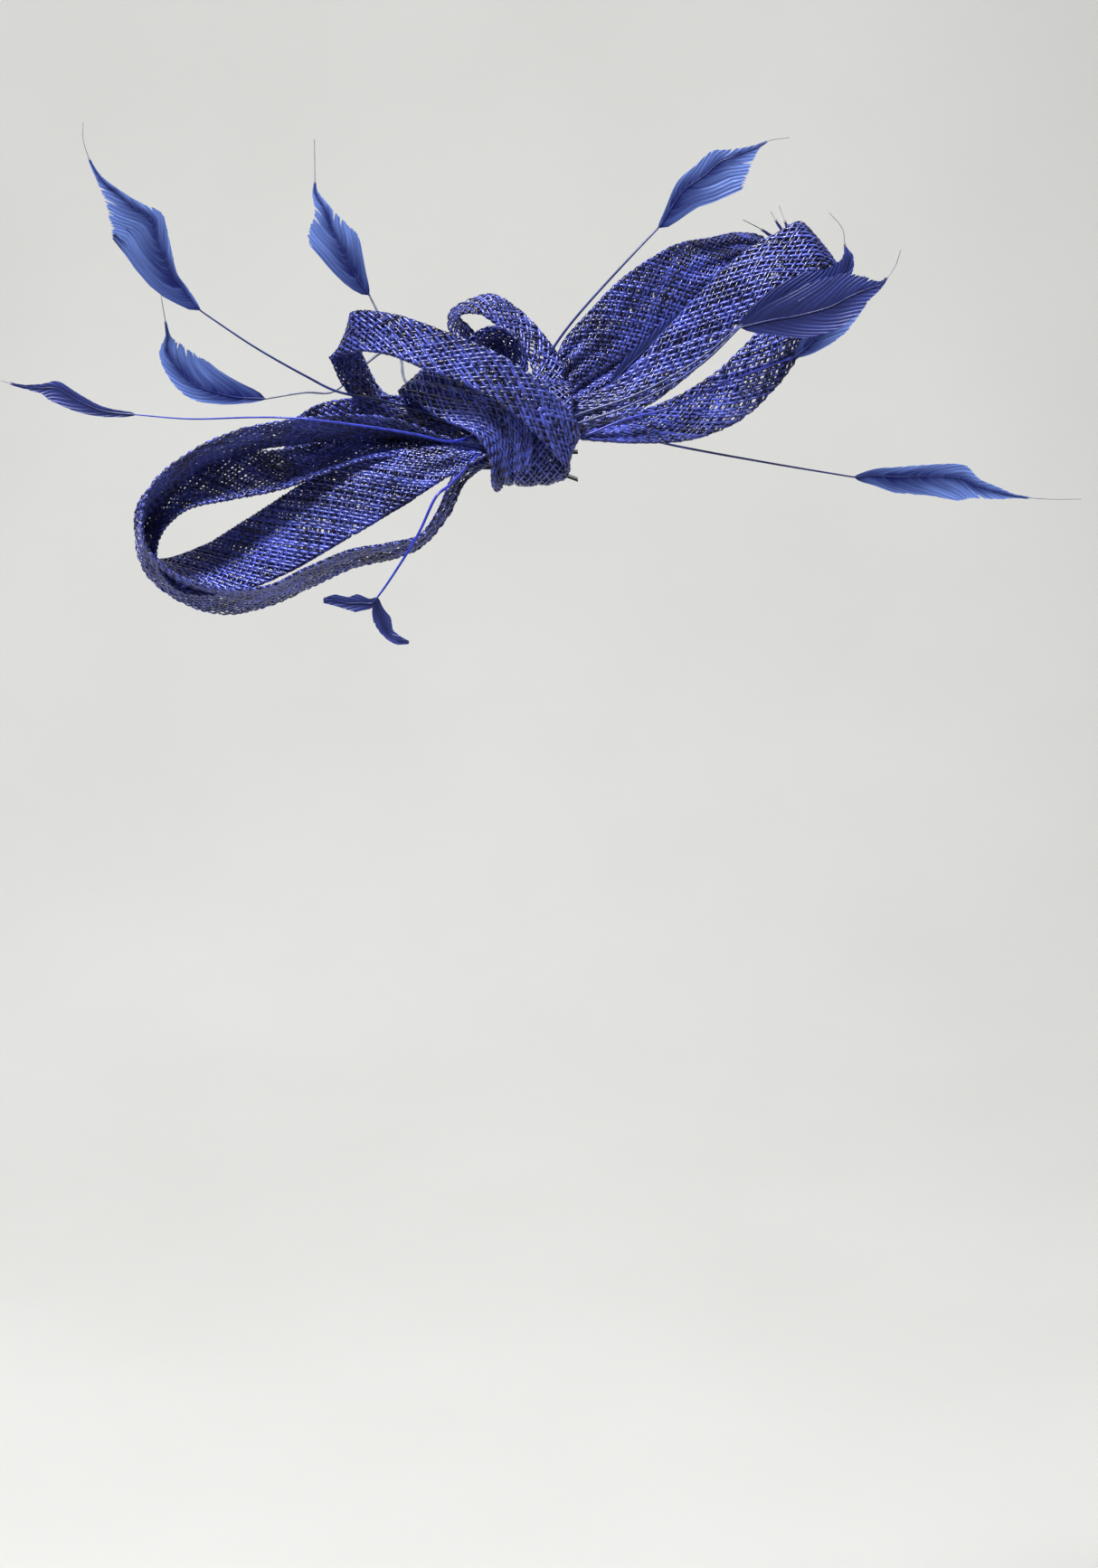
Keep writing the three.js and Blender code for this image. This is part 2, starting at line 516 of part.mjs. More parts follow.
const stitchRing = PLATE_RADIUS - STITCH_MARGIN;
const holeRadius = STITCH_RADIUS + RUNNING_GAP;

// the two hole centres of each stitch
const stitchHoles = STITCH_ANGLES.map((degrees) => {
  const angle = THREE.MathUtils.degToRad(degrees);
  const spread = STITCH_SPAN / 2 / stitchRing;
  return [angle - spread, angle + spread].map((a) => [
    stitchRing * Math.cos(a), PLATE_CENTRE_Y + stitchRing * Math.sin(a),
  ]);
});

const plateOutline = new THREE.Shape().absarc(0, PLATE_CENTRE_Y, PLATE_RADIUS, 0, 2 * Math.PI);
for (const [x, y] of stitchHoles.flat()) {
  plateOutline.holes.push(new THREE.Path().absarc(x, y, holeRadius, 0, 2 * Math.PI));
}
const plate = new THREE.ExtrudeGeometry(plateOutline, {
  depth: SHEET, bevelEnabled: false, curveSegments: CURVE_SEGMENTS,
});
addPiece("steel_plate", plate.translate(0, 0, PLATE_Z), DARK_STEEL);

// each stitch: two legs down through the plate and a span across its underside
const stitchLow = PLATE_Z - GAP - STITCH_RADIUS;
const stitchHigh = PLATE_Z + SHEET;
stitchHoles.forEach(([first, second], i) => {
  const legs = [first, second].map(([x, y]) => {
    const leg = round(STITCH_RADIUS, stitchHigh - stitchLow, STITCH_SIDES).rotateX(Math.PI / 2);
    return leg.translate(x, y, (stitchHigh + stitchLow) / 2);
  });
  const span = new THREE.BoxGeometry(STITCH_SPAN + 2 * STITCH_RADIUS, 2 * STITCH_RADIUS, 2 * STITCH_RADIUS);
  span.rotateZ(Math.atan2(second[1] - first[1], second[0] - first[0]));
  span.translate((first[0] + second[0]) / 2, (first[1] + second[1]) / 2, stitchLow);
  addPiece(`stitch_${i + 1}`, toGeometry(join(span, ...legs)), DEEP_BLUE);
});

// ---------- hair clip ----------
function ear(radius, reach, width, y) {
  const outline = new THREE.Shape();
  outline.moveTo(CLIP_HINGE_X - radius, reach);
  outline.lineTo(CLIP_HINGE_X - radius, HINGE_Z);
  outline.absarc(CLIP_HINGE_X, HINGE_Z, radius, Math.PI, 0, reach < HINGE_Z);
  outline.lineTo(CLIP_HINGE_X + radius, reach);
  return sidePlate(outline, width, y);
}

const pinHole = round(CLIP_PIN_RADIUS + RUNNING_GAP, CLIP_WIDTH * 2).translate(CLIP_HINGE_X, 0, HINGE_Z);
const bend = CLIP_HINGE_X + LEVER_BEND_PAST_HINGE;
const teeth = [];
for (let i = 0; i < TOOTH_COUNT; i++) {
  const x = -JAW_LENGTH + TIP_WIDTH + i * TOOTH_PITCH;
  teeth.push(point(x, SHEET), point(x + TOOTH_PITCH / 2, SHEET + TOOTH_HEIGHT));
}
const lowerOutline = [
  point(-JAW_LENGTH, 0), point(bend, 0), point(LEVER_LENGTH, -LEVER_DROP),
  point(LEVER_LENGTH, SHEET - LEVER_DROP), point(bend, SHEET),
  ...teeth.reverse(), point(-JAW_LENGTH, SHEET),
];
const outerEar = CLIP_WIDTH / 2 - SHEET / 2;
const innerEar = outerEar - SHEET - GAP;
const lowerJaw = join(
  sidePlate(lowerOutline, CLIP_WIDTH, 0),
  ear(EAR_RADIUS, SHEET / 2, SHEET, outerEar),
  ear(EAR_RADIUS, SHEET / 2, SHEET, -outerEar),
).subtract(toSolid(pinHole));
addPiece("clip_lower_jaw", toGeometry(lowerJaw), DARK_STEEL);

const tipZ = SHEET + TOOTH_HEIGHT + GAP;
const upperOutline = [
  point(LEVER_LENGTH, CLIP_HEIGHT), point(-JAW_LENGTH + TIP_RISE, CLIP_HEIGHT),
  point(-JAW_LENGTH, tipZ + SHEET), point(-JAW_LENGTH, tipZ), point(-JAW_LENGTH + TIP_WIDTH, tipZ),
  point(-JAW_LENGTH + TIP_RISE + SHEET / 2, CLIP_HEIGHT - SHEET), point(LEVER_LENGTH, CLIP_HEIGHT - SHEET),
];
const upperArm = join(
  sidePlate(upperOutline, CLIP_WIDTH, 0),
  ear(EAR_RADIUS, CLIP_HEIGHT - SHEET / 2, SHEET, innerEar),
  ear(EAR_RADIUS, CLIP_HEIGHT - SHEET / 2, SHEET, -innerEar),
).subtract(toSolid(pinHole));
addPiece("clip_upper_arm", toGeometry(upperArm), DARK_STEEL);

const headOffset = CLIP_WIDTH / 2 + GAP + RIVET_HEAD_THICKNESS / 2;
const clipPin = join(
  round(CLIP_PIN_RADIUS, CLIP_WIDTH + 2 * GAP + 2 * RIVET_HEAD_THICKNESS),
  round(RIVET_HEAD_RADIUS, RIVET_HEAD_THICKNESS).translate(0, headOffset, 0),
  round(RIVET_HEAD_RADIUS, RIVET_HEAD_THICKNESS).translate(0, -headOffset, 0),
);
addPiece("clip_hinge_pin", toGeometry(clipPin).translate(CLIP_HINGE_X, 0, HINGE_Z), STEEL);

class SpringWire extends THREE.Curve {
  getPoint(t) {
    const coil = EAR_RADIUS - SPRING_WIRE_RADIUS;
    const leg = LEVER_LENGTH - CLIP_HINGE_X - SPRING_LEG_SHORT;
    const turned = 2 * Math.PI * SPRING_TURNS;
    const total = turned * coil + 2 * leg;
    const travelled = t * total;
    const wound = THREE.MathUtils.clamp((travelled - leg) / coil, 0, turned);
    const before = Math.max(leg - travelled, 0);
    const after = Math.max(travelled - leg - turned * coil, 0);
    const across = (wound / (2 * Math.PI) - SPRING_TURNS / 2) * SPRING_PITCH;
    const x = coil * Math.sin(wound) + before + after;
    const pastBend = Math.max(after - LEVER_BEND_PAST_HINGE, 0);
    const z = coil * Math.cos(wound) - pastBend * (LEVER_DROP / (LEVER_LENGTH - bend));
    return new THREE.Vector3(CLIP_HINGE_X + x, across, HINGE_Z + z);
  }
}
const spring = new THREE.ExtrudeGeometry(polygon(SPRING_WIRE_RADIUS, SPRING_SIDES), {
  steps: SPRING_STEPS, bevelEnabled: false, extrudePath: new SpringWire(),
});
addPiece("clip_spring", toGeometry(toSolid(spring)), STEEL);

// ---------- brooch pin ----------
const hingeX = BROOCH_HALF_LENGTH;
const eyeHole = round(BROOCH_PIN_RADIUS + RUNNING_GAP, EYE_WIDTH * 2);
const shaftLength = 2 * BROOCH_HALF_LENGTH + NEEDLE_OVERHANG;
const shaftProfile = [
  point(0, 0), point(NEEDLE_RADIUS, 0),
  point(NEEDLE_RADIUS, shaftLength - POINT_LENGTH), point(0, shaftLength),
];
const shaft = new THREE.LatheGeometry(shaftProfile, NEEDLE_SIDES).rotateZ(Math.PI / 2);
const needle = join(shaft, round(EYE_RADIUS, EYE_WIDTH)).subtract(toSolid(eyeHole));
addPiece("brooch_needle", toGeometry(needle).translate(hingeX, BROOCH_Y, NEEDLE_Z), STEEL);

const cheekOffset = EYE_WIDTH / 2 + GAP + BRACKET_CHEEK / 2;
const bracketTop = PLATE_Z - GAP;
const cheekOutline = new THREE.Shape();
cheekOutline.moveTo(hingeX - EYE_RADIUS, bracketTop);
cheekOutline.lineTo(hingeX - EYE_RADIUS, NEEDLE_Z);
cheekOutline.absarc(hingeX, NEEDLE_Z, EYE_RADIUS, Math.PI, 0);
cheekOutline.lineTo(hingeX + EYE_RADIUS, bracketTop);
const baseWidth = EYE_WIDTH + 2 * GAP + 2 * BRACKET_CHEEK;
const bracketBase = new THREE.BoxGeometry(2 * EYE_RADIUS, baseWidth, BRACKET_BASE);
bracketBase.translate(hingeX, BROOCH_Y, bracketTop - BRACKET_BASE / 2);
const rivetHole = round(BROOCH_PIN_RADIUS + RUNNING_GAP, baseWidth * 2);
rivetHole.translate(hingeX, BROOCH_Y, NEEDLE_Z);
const bracket = join(
  bracketBase,
  sidePlate(cheekOutline, BRACKET_CHEEK, BROOCH_Y - cheekOffset),
  sidePlate(cheekOutline, BRACKET_CHEEK, BROOCH_Y + cheekOffset),
).subtract(toSolid(rivetHole));
addPiece("brooch_bracket", toGeometry(bracket), DARK_STEEL);

const broochHead = baseWidth / 2 + GAP + RIVET_HEAD_THICKNESS / 2;
const broochHeadRadius = EYE_RADIUS - GAP;
const broochPin = join(
  round(BROOCH_PIN_RADIUS, baseWidth + 2 * GAP + 2 * RIVET_HEAD_THICKNESS),
  round(broochHeadRadius, RIVET_HEAD_THICKNESS).translate(0, broochHead, 0),
  round(broochHeadRadius, RIVET_HEAD_THICKNESS).translate(0, -broochHead, 0),
);
addPiece("brooch_hinge_pin", toGeometry(broochPin).translate(hingeX, BROOCH_Y, NEEDLE_Z), STEEL);

// a C-shaped section, open downwards
function openRing(inner, outer) {
  const start = -Math.PI / 2 + CATCH_OPENING / 2;
  const end = (3 * Math.PI) / 2 - CATCH_OPENING / 2;
  const section = new THREE.Shape();
  section.absarc(0, 0, outer, start, end);
  section.absarc(0, 0, inner, end, start, true);
  return section;
}

const catchX = -BROOCH_HALF_LENGTH;
const sleeveInner = NEEDLE_RADIUS + GAP;
const sleeveOuter = sleeveInner + CATCH_WALL;
const housingInner = sleeveOuter + GAP;
const housingOuter = housingInner + CATCH_WALL;
const footHeight = bracketTop - NEEDLE_Z - housingInner;
const foot = new THREE.BoxGeometry(CATCH_LENGTH, 2 * housingInner, footHeight);
foot.translate(0, BROOCH_Y, bracketTop - footHeight / 2);
const housing = join(
  foot, alongX(openRing(housingInner, housingOuter), CATCH_LENGTH, -CATCH_LENGTH / 2, BROOCH_Y, NEEDLE_Z),
);
addPiece("catch_housing", toGeometry(housing).translate(catchX, 0, 0), DARK_STEEL);

// the sleeve turns in the housing and has a finger tab and a collar outside its two ends
const sleeveLength = CATCH_LENGTH + 2 * GAP + 2 * TAB_THICKNESS;
const collar = openRing(sleeveInner, housingInner);
const tab = new THREE.BoxGeometry(TAB_THICKNESS, CATCH_TAB + CATCH_WALL, 2 * CATCH_WALL);
const tabY = BROOCH_Y + sleeveOuter + (CATCH_TAB - CATCH_WALL) / 2;
tab.translate((TAB_THICKNESS - sleeveLength) / 2, tabY, NEEDLE_Z);
const sleeve = join(
  alongX(openRing(sleeveInner, sleeveOuter), sleeveLength, -sleeveLength / 2, BROOCH_Y, NEEDLE_Z),
  alongX(collar, TAB_THICKNESS, -sleeveLength / 2, BROOCH_Y, NEEDLE_Z),
  alongX(collar, TAB_THICKNESS, sleeveLength / 2 - TAB_THICKNESS, BROOCH_Y, NEEDLE_Z),
  tab,
);
addPiece("catch_sleeve", toGeometry(sleeve).translate(catchX, 0, 0), STEEL);

export default headpiece;
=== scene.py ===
# Looks of the fascinator headpiece: woven ribbons, trimmed feathers, knot, felt pad, clip and brooch pin.
# Routes and sizes repeat the CAD model's, in millimetres, and become metres as the meshes are made.
import math

import bpy
import numpy as np
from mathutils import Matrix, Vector


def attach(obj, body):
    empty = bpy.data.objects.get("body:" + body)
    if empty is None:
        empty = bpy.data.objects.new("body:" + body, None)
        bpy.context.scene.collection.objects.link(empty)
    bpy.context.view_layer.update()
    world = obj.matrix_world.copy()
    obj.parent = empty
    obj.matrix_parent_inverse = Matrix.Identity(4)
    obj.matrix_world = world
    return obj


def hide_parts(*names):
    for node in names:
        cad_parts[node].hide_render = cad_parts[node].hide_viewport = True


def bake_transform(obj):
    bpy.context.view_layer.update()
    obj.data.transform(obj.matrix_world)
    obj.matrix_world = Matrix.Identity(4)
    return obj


MM = 0.001
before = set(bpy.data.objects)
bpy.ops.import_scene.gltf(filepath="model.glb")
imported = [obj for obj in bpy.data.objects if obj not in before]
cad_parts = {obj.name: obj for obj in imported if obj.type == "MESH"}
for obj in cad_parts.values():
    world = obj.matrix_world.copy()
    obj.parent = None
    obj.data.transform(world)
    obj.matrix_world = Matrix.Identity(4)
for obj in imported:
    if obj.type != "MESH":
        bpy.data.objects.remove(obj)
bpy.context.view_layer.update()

# ---------- sizes repeated from the model ----------
DRAWN_KNOT = np.array([2, 2, 18.0])  # the knot's centre in the numbers of the routes below
KNOT = np.array([2, 2, 18.6])  # and where it sits on the headpiece
CORE = np.array([22, 16, 8.5])
BINDING_X, BINDING_WIDTH = 10, 5
PAD_CENTRE_Y, PAD_RADIUS, PAD_Z, PAD_THICKNESS = 7, 22, 7.8, 2
PLATE_RADIUS, PLATE_Z, SHEET = 17, 6.7, 0.8
STITCH_ANGLES, STITCH_SPAN, STITCH_MARGIN = (60, 120, 250, 290), 3.2, 2.2
CLIP_HINGE_X, HINGE_Z, EAR_RADIUS = 9, 3.2, 2.1
LEVER_LENGTH, LEVER_DROP = 22, 4.5

# name: reach, width, angle of the threads to the ribbon, pleats, route
# A station of a route is x, y, z, the direction across, and the share of the width where it is gathered.
RIBBONS = {
    "front_curl_ribbon": (71, 15, 29, 1, [
        (15, -15, 3, 0.7, -0.3, 0.7, 0.7), (20, -24, 8, 0.3, 0.1, 0.9), (9, -27, 22, 0.5, 0.1, 0.8),
        (-2, -26, 31, 0.5, 0.2, 0.8), (-13, -24, 37, 0.5, 0.2, 0.9), (-29, -20, 43, 0.4, 0.2, 0.9),
        (-44, -14, 48, 0.1, 0.3, 0.9), (-57, -6, 49, 0, 0.3, 0.9), (-63, 2, 46, 0.4, 0.3, 0.9),
        (-62, 9, 39, 0.7, 0.7, 0.1), (-56, 10, 27, 0.9, 0.5, -0.1), (-47, 9, 21, 0.9, 0.2, 0.2),
        (-34, 6, 16, 0.9, -0.2, 0.4, 0.6)]),
    "centre_wrap_ribbon": (30.5, 20, 40, 2, [
        (10, 17, 24, 1, 0, 0), (9, 4, 30, 1, 0, 0), (10, -13, 27, 1, 0, 0), (9, -21, 11, 1, 0, 0.1),
        (9, -21, -1, 1, 0.1, 0.1), (8, -17, -4, 1, 0.1, 0.1, 0.8), (8, -15.5, 3, 1, 0, 0.1, 0.7)]),
    "pleated_ribbon": (40, 28, 27, 3, [
        (-1, -18, -5, 0.9, 0, 0.3, 0.5), (-2, -23, -1, 0.9, -0.1, 0.4, 0.55),
        (-2, -24, 9, 0.9, 0, 0.5, 0.6), (-7, -22, 20, 0.8, 0, 0.6, 0.75),
        (-20, -16, 29, 0.7, 0, 0.7, 0.95), (-32, -6, 38, 0.7, 0, 0.7), (-32, 6, 34, 0.7, 0, 0.7),
        (-23, 11, 25, 0.8, 0, 0.6, 0.9), (-14, 9, 20, 0.8, -0.1, 0.6, 0.6)]),
    "left_outer_ribbon": (146, 26, 33, 2, [
        (-9, -15, 8, 0.2, 0.9, -0.3, 0.4), (-23, -9, 9, 0.1, 1, -0.3, 0.7),
        (-43, -9, 14, 0, 0.9, -0.4, 0.85), (-63, -11, 15, -0.1, 0.9, -0.4),
        (-85, -13, 13, -0.1, 0.9, -0.4), (-100, -14, 10, -0.1, 0.9, -0.4),
        (-116, -15, 3, -0.1, 0.9, -0.4), (-128, -16, -7, 0, 0.9, -0.4),
        (-136, -16, -19, -0.2, 0.9, -0.3), (-134, -17, -32, -0.2, 0.9, -0.4),
        (-123, -17, -42, -0.1, 0.9, -0.5), (-108, -17, -47, -0.1, 0.9, -0.5),
        (-90, -18, -45, -0.1, 0.9, -0.4), (-75, -20, -38, 0, 0.9, -0.4, 0.9),
        (-59, -22, -31, 0, 0.9, -0.4, 0.8), (-45, -24, -28, 0, 0.9, -0.4, 0.7),
        (-34, -25, -24, 0, 0.9, -0.3, 0.65), (-26, -24, -14, 0.2, 1, -0.2, 0.6),
        (-20, -19, -2, 0.2, 0.9, -0.3, 0.5), (-8, -17, 6, 0.2, 0.9, -0.3, 0.4)]),
    "left_inner_ribbon": (145, 28, 46, 2, [
        (-10, -16, 11, -0.1, 0.6, 0.7, 0.4), (-24, -9, 12, -0.1, 0.9, 0.4, 0.6),
        (-40, -8, 9, 0, 0.9, 0.3, 0.7), (-55, -9, 8, -0.1, 0.9, 0.3, 0.85),
        (-86, -11, 0, -0.1, 0.9, 0.5, 0.9), (-103, -12, -2, -0.1, 0.8, 0.6, 0.9),
        (-121, -12, -7, -0.2, 0.8, 0.5, 0.9), (-133, -11, -18, -0.4, 0.8, 0.4, 0.9),
        (-134, -11, -30, -0.4, 0.9, 0.2, 0.95), (-127, -11, -38, -0.4, 0.9, 0.3),
        (-109, -12, -36, -0.4, 0.7, 0.5), (-90, -16, -27, -0.6, 0.5, 0.6),
        (-67, -20, -13, -0.6, 0.4, 0.6), (-47, -21, -3, -0.6, 0.4, 0.7, 0.85),
        (-27, -19, 4, -0.5, 0.6, 0.6, 0.55), (-12, -17, 7, -0.4, 0.6, 0.6, 0.4)]),
    "left_back_ribbon": (93.5, 22.4, 36, 2, [
        (-24, 6, 20, 0, 0, 1, 0.5), (-57, 10, 15, 0, 0.1, 1, 0.85), (-74, 14, 10, 0, 0.1, 1),
        (-86, 19, 2, 0, 0.1, 1), (-86, 28, 1, 0, 0.1, 1), (-65, 31, 11, 0, 0.1, 1, 0.8),
        (-28, 20, 18, 0, 0.2, 1, 0.5)]),
    "right_front_ribbon": (124, 20, 27, 2, [
        (20, -9, 19, -0.4, 0.2, 0.9, 0.55), (39, -10, 26, -0.6, 0.4, 0.7, 0.7),
        (56, -7, 40, -0.5, 0.3, 0.8, 0.9), (73, -4, 57, -0.5, 0.4, 0.8), (87, -2, 70, -0.5, 0.5, 0.7),
        (98, 1, 76, -0.4, 0.5, 0.8), (107, 4, 80, -0.5, 0.5, 0.8), (113, 10, 73, -0.4, 0.8, 0.5),
        (110, 15, 61, -0.4, 0.8, 0.5), (99, 17, 47, -0.5, 0.6, 0.6), (89, 17, 35, -0.6, 0.4, 0.7),
        (77, 16, 24, -0.6, 0.3, 0.8), (60, 13, 16, -0.5, 0.2, 0.8, 0.85),
        (42, 10, 13, -0.5, 0.2, 0.9, 0.6), (22, 7, 13, -0.3, 0.3, 0.9, 0.4)]),
    "right_back_ribbon": (111, 28, 43, 3, [
        (14, 6, 26, -0.4, 0.4, 0.8, 0.4), (20, 9, 37, -0.4, 0.3, 0.9, 0.6),
        (29, 11, 45, -0.3, 0.2, 0.9, 0.75), (43, 13, 56, -0.3, 0.1, 0.9, 0.9),
        (58, 15, 66, -0.2, 0.1, 1, 0.9), (73, 18, 73, -0.3, 0.2, 0.9, 0.65),
        (84, 26, 76, -0.3, 0.2, 0.9, 0.55), (92, 36, 73, -0.1, 0, 1, 0.55),
        (86, 44, 64, -0.3, 0, 1, 0.6), (59, 43, 47, -0.3, 0.1, 1, 0.6),
        (30, 32, 31, -0.3, 0.3, 0.9, 0.55), (14, 18, 23, -0.3, 0.3, 0.9, 0.4)]),
    "back_curl_ribbon": (46.5, 11.5, 36, 2, [
        (11, -5, 28, 1, 0.2, 0.1), (11, 1, 36, 1, 0.2, 0.1), (5, 6, 45, 0.8, 0.5, 0.4),
        (-3, 10, 53, 0.6, 0.6, 0.6), (-11, 11, 58, 0.4, 0.7, 0.6), (-19, 15, 57, 0.2, 0.9, 0.4),
        (-23, 18, 54, -0.3, 0.9, 0.2), (-21, 21, 48, -0.8, 0.6, 0), (-15, 17, 34, -0.9, 0.5, 0),
        (-8, 12, 26, -0.9, 0.5, 0)]),
    "fold_ribbon": (29, 16, 40, 2, [
        (-13, 3, 31, 0.5, 0.7, 0.2, 0.8), (-15, 3, 38, 0.6, 0.7, -0.2), (-12, 3, 43.5, 0.4, 0.7, -0.6),
        (-7, 3, 45, 0, 0.7, -0.7), (-3, 3, 42, -0.4, 0.7, -0.5), (-1, 3, 37, -0.6, 0.7, -0.1, 0.9),
        (-1, 3, 31, -0.5, 0.7, 0.2, 0.8)]),
}

# name: shaft offset, splits as (side, place, depth), quill, vanes with stations x, y, z, width
FEATHERS = {
    "feather_top_left": (0.55, ((-1, 0.50, 0.55), (-1, 0.62, 0.3), (1, 0.40, 0.2)),
        [(-17, 4, 15), (-47, 5, 23), (-66, 5, 27), (-76, 4, 32), (-95, 2, 43), (-114, 0, 56)],
        [[(-114, 0, 56, 1.4), (-120, 0, 62, 5), (-125, -1, 66, 9), (-129, -2, 71, 14.5),
          (-133, -3, 78, 19), (-135, -4, 85, 20.5), (-139, -5, 90, 13.5), (-143, -6, 96, 7),
          (-148, -7, 103, 2), (-151, -7, 109, 0.8), (-153, -7, 116, 0.6), (-153, -6, 122, 0.6)]]),
    "feather_top": (0.2, ((1, 0.42, 0.5), (-1, 0.36, 0.35), (-1, 0.48, 0.5), (1, 0.30, 0.25)),
        [(-24, 8, 18), (-41, 12, 30), (-43, 14, 39), (-51, 14, 55), (-54, 14, 61)],
        [[(-54, 14, 61, 1.4), (-58, 13, 65, 9.5), (-62, 12, 71, 15), (-66, 11, 79, 18),
          (-69, 11, 85, 14.5), (-70, 11, 91, 6.5), (-73, 12, 98, 2), (-73, 12, 101, 0.8),
          (-73, 13, 117, 0.6)]]),
    "feather_left_middle": (-0.3, ((1, 0.35, 0.3), (1, 0.5, 0.25)),
        [(-27, 12, 31), (-47, 16, 41), (-56, 18, 36), (-68, 18, 26), (-78, 12, 26), (-92, 8, 24)],
        [[(-92, 8, 24, 1.4), (-99, 8, 25, 5.5), (-107, 7, 27, 10.5), (-116, 6, 31, 15),
          (-122, 6, 36, 13), (-126, 6, 42, 9), (-127, 7, 47, 1.6), (-128, 7, 54, 0.6),
          (-129, 7, 61, 0.6)]]),
    "feather_far_left": (0.3, (),
        [(-8, -8, 16), (-15, -15, 13), (-23, -22, 11), (-36, -27, 14), (-53, -30, 17), (-79, -31, 20),
         (-93, -28, 20), (-116, -22, 19), (-136, -16, 20)],
        [[(-136, -16, 20, 1.4), (-148, -15, 21, 3.6), (-157, -14, 24, 6.2), (-165, -13, 28, 7.6),
          (-170, -13, 29, 3.4), (-177, -14, 30, 1.2), (-184, -15, 32, 0.6)]]),
    "feather_top_right": (-0.45, ((-1, 0.55, 0.35), (1, 0.5, 0.25)),
        [(2, 5, 24), (12, 4, 41), (20, 4, 52), (42, 8, 76), (51, 12, 85)],
        [[(51, 12, 85, 1.4), (56, 12, 90, 6.5), (62, 11, 96, 14), (69, 10, 100, 17.5),
          (75, 10, 105, 18), (79, 10, 108, 12), (83, 11, 111, 6), (87, 12, 114, 1.6),
          (91, 12, 116, 0.6), (98, 13, 117, 0.6)]]),
    "feather_right_upper": (0.2, ((1, 0.5, 0.3),),
        [(9, -14, 13), (22, -16, 20), (42, -17, 27), (64, -16, 39), (79, -14, 51)],
        [[(79, -14, 51, 1.6), (86, -14, 56, 6), (95, -14, 61, 10.5), (103, -15, 64, 12),
          (111, -16, 67, 9.5), (116, -16, 72, 6.5), (117, -16, 76, 3.4), (116, -15, 79, 0.8),
          (115, -15, 85, 0.6), (110, -14, 91, 0.6)]]),
    "feather_right_middle": (0.1, ((-1, 0.62, 0.25),),
        [(9, -18, 14), (24, -21, 18), (43, -22, 25), (65, -22, 38), (79, -20, 51)],
        [[(79, -20, 51, 1.6), (89, -20, 54, 12), (99, -20, 56, 18.5), (110, -21, 59, 18.5),
          (118, -22, 63, 15), (124, -22, 65, 7.5), (128, -22, 66, 2.4), (130, -22, 68, 0.8),
          (133, -21, 72, 0.6), (135, -21, 78, 0.6)]]),
    "feather_right_lower": (0.0, ((-1, 0.5, 0.25),),
        [(12, 0, 10), (23, -1, 11), (39, 1, 17), (55, 2, 21), (81, -3, 33), (99, -10, 40)],
        [[(99, -10, 40, 1.4), (104, -11, 44, 6), (109, -12, 49, 10.5), (114, -13, 53, 10.5),
          (119, -14, 56, 6), (123, -14, 58, 1)]]),
    "feather_far_right": (-0.25, ((1, 0.46, 0.3),),
        [(14, 8, 13), (36, 22, 11), (57, 22, 6), (92, 16, 0), (124, 12, -5)],
        [[(124, 12, -5, 1.4), (131, 12, -5, 6), (139, 12, -6, 9.5), (152, 11, -6, 11.5),
          (163, 11, -7, 13.5), (169, 11, -9, 7.5), (178, 11, -11, 4), (184, 11, -12, 1.2),
          (196, 11, -13, 0.6), (208, 11, -13, 0.6)]]),
    "feather_front_blade": (0.0, (),
        [(16, 0, 22), (26, 0, 25), (33, 1, 28)],
        [[(33, 1, 28, 1.5), (38, 1, 34, 5), (45, 1, 41, 6), (53, 1, 49, 4.5), (60, 1, 56, 1)]]),
    "feather_fishtail": (0.0, (),
        [(-14, -20, 6), (-24, -29, -4), (-28, -32, -7), (-35, -36, -21), (-46, -41, -38),
         (-49, -42, -42)],
        [[(-49, -42, -42, 3), (-51, -42, -44, 6.5), (-55, -42, -44, 7), (-60, -42, -44, 4.4),
          (-64, -42, -43, 4), (-68, -43, -43, 1.6)],
         [(-49, -42, -42, 3), (-49, -42, -46, 7), (-47, -42, -51, 6), (-45, -42, -55, 4),
          (-42, -43, -57, 3.4), (-38, -43, -58, 1)]]),
    "feather_wisps": (0.0, (),
        [(86, 14, 66), (95, 15, 74), (101, 16, 79)],
        [[(101, 16, 79, 1), (97, 16, 81, 1.6), (93, 16, 82, 1.2), (88, 16, 85, 0.8), (82, 16, 88, 0.5)],
         [(101, 16, 79, 1), (98, 16, 82, 1.4), (95, 16, 86, 1), (92, 16, 91, 0.5)],
         [(101, 16, 79, 1), (99, 16, 83, 1.2), (97, 16, 88, 0.8), (95, 16, 93, 0.5)]]),
}
VANE_FACING = np.array([0.05, -1, 0.12])


# ---------- curves ----------
def unit(v):
    return v / np.maximum(np.linalg.norm(v, axis=-1, keepdims=True), 1e-9)


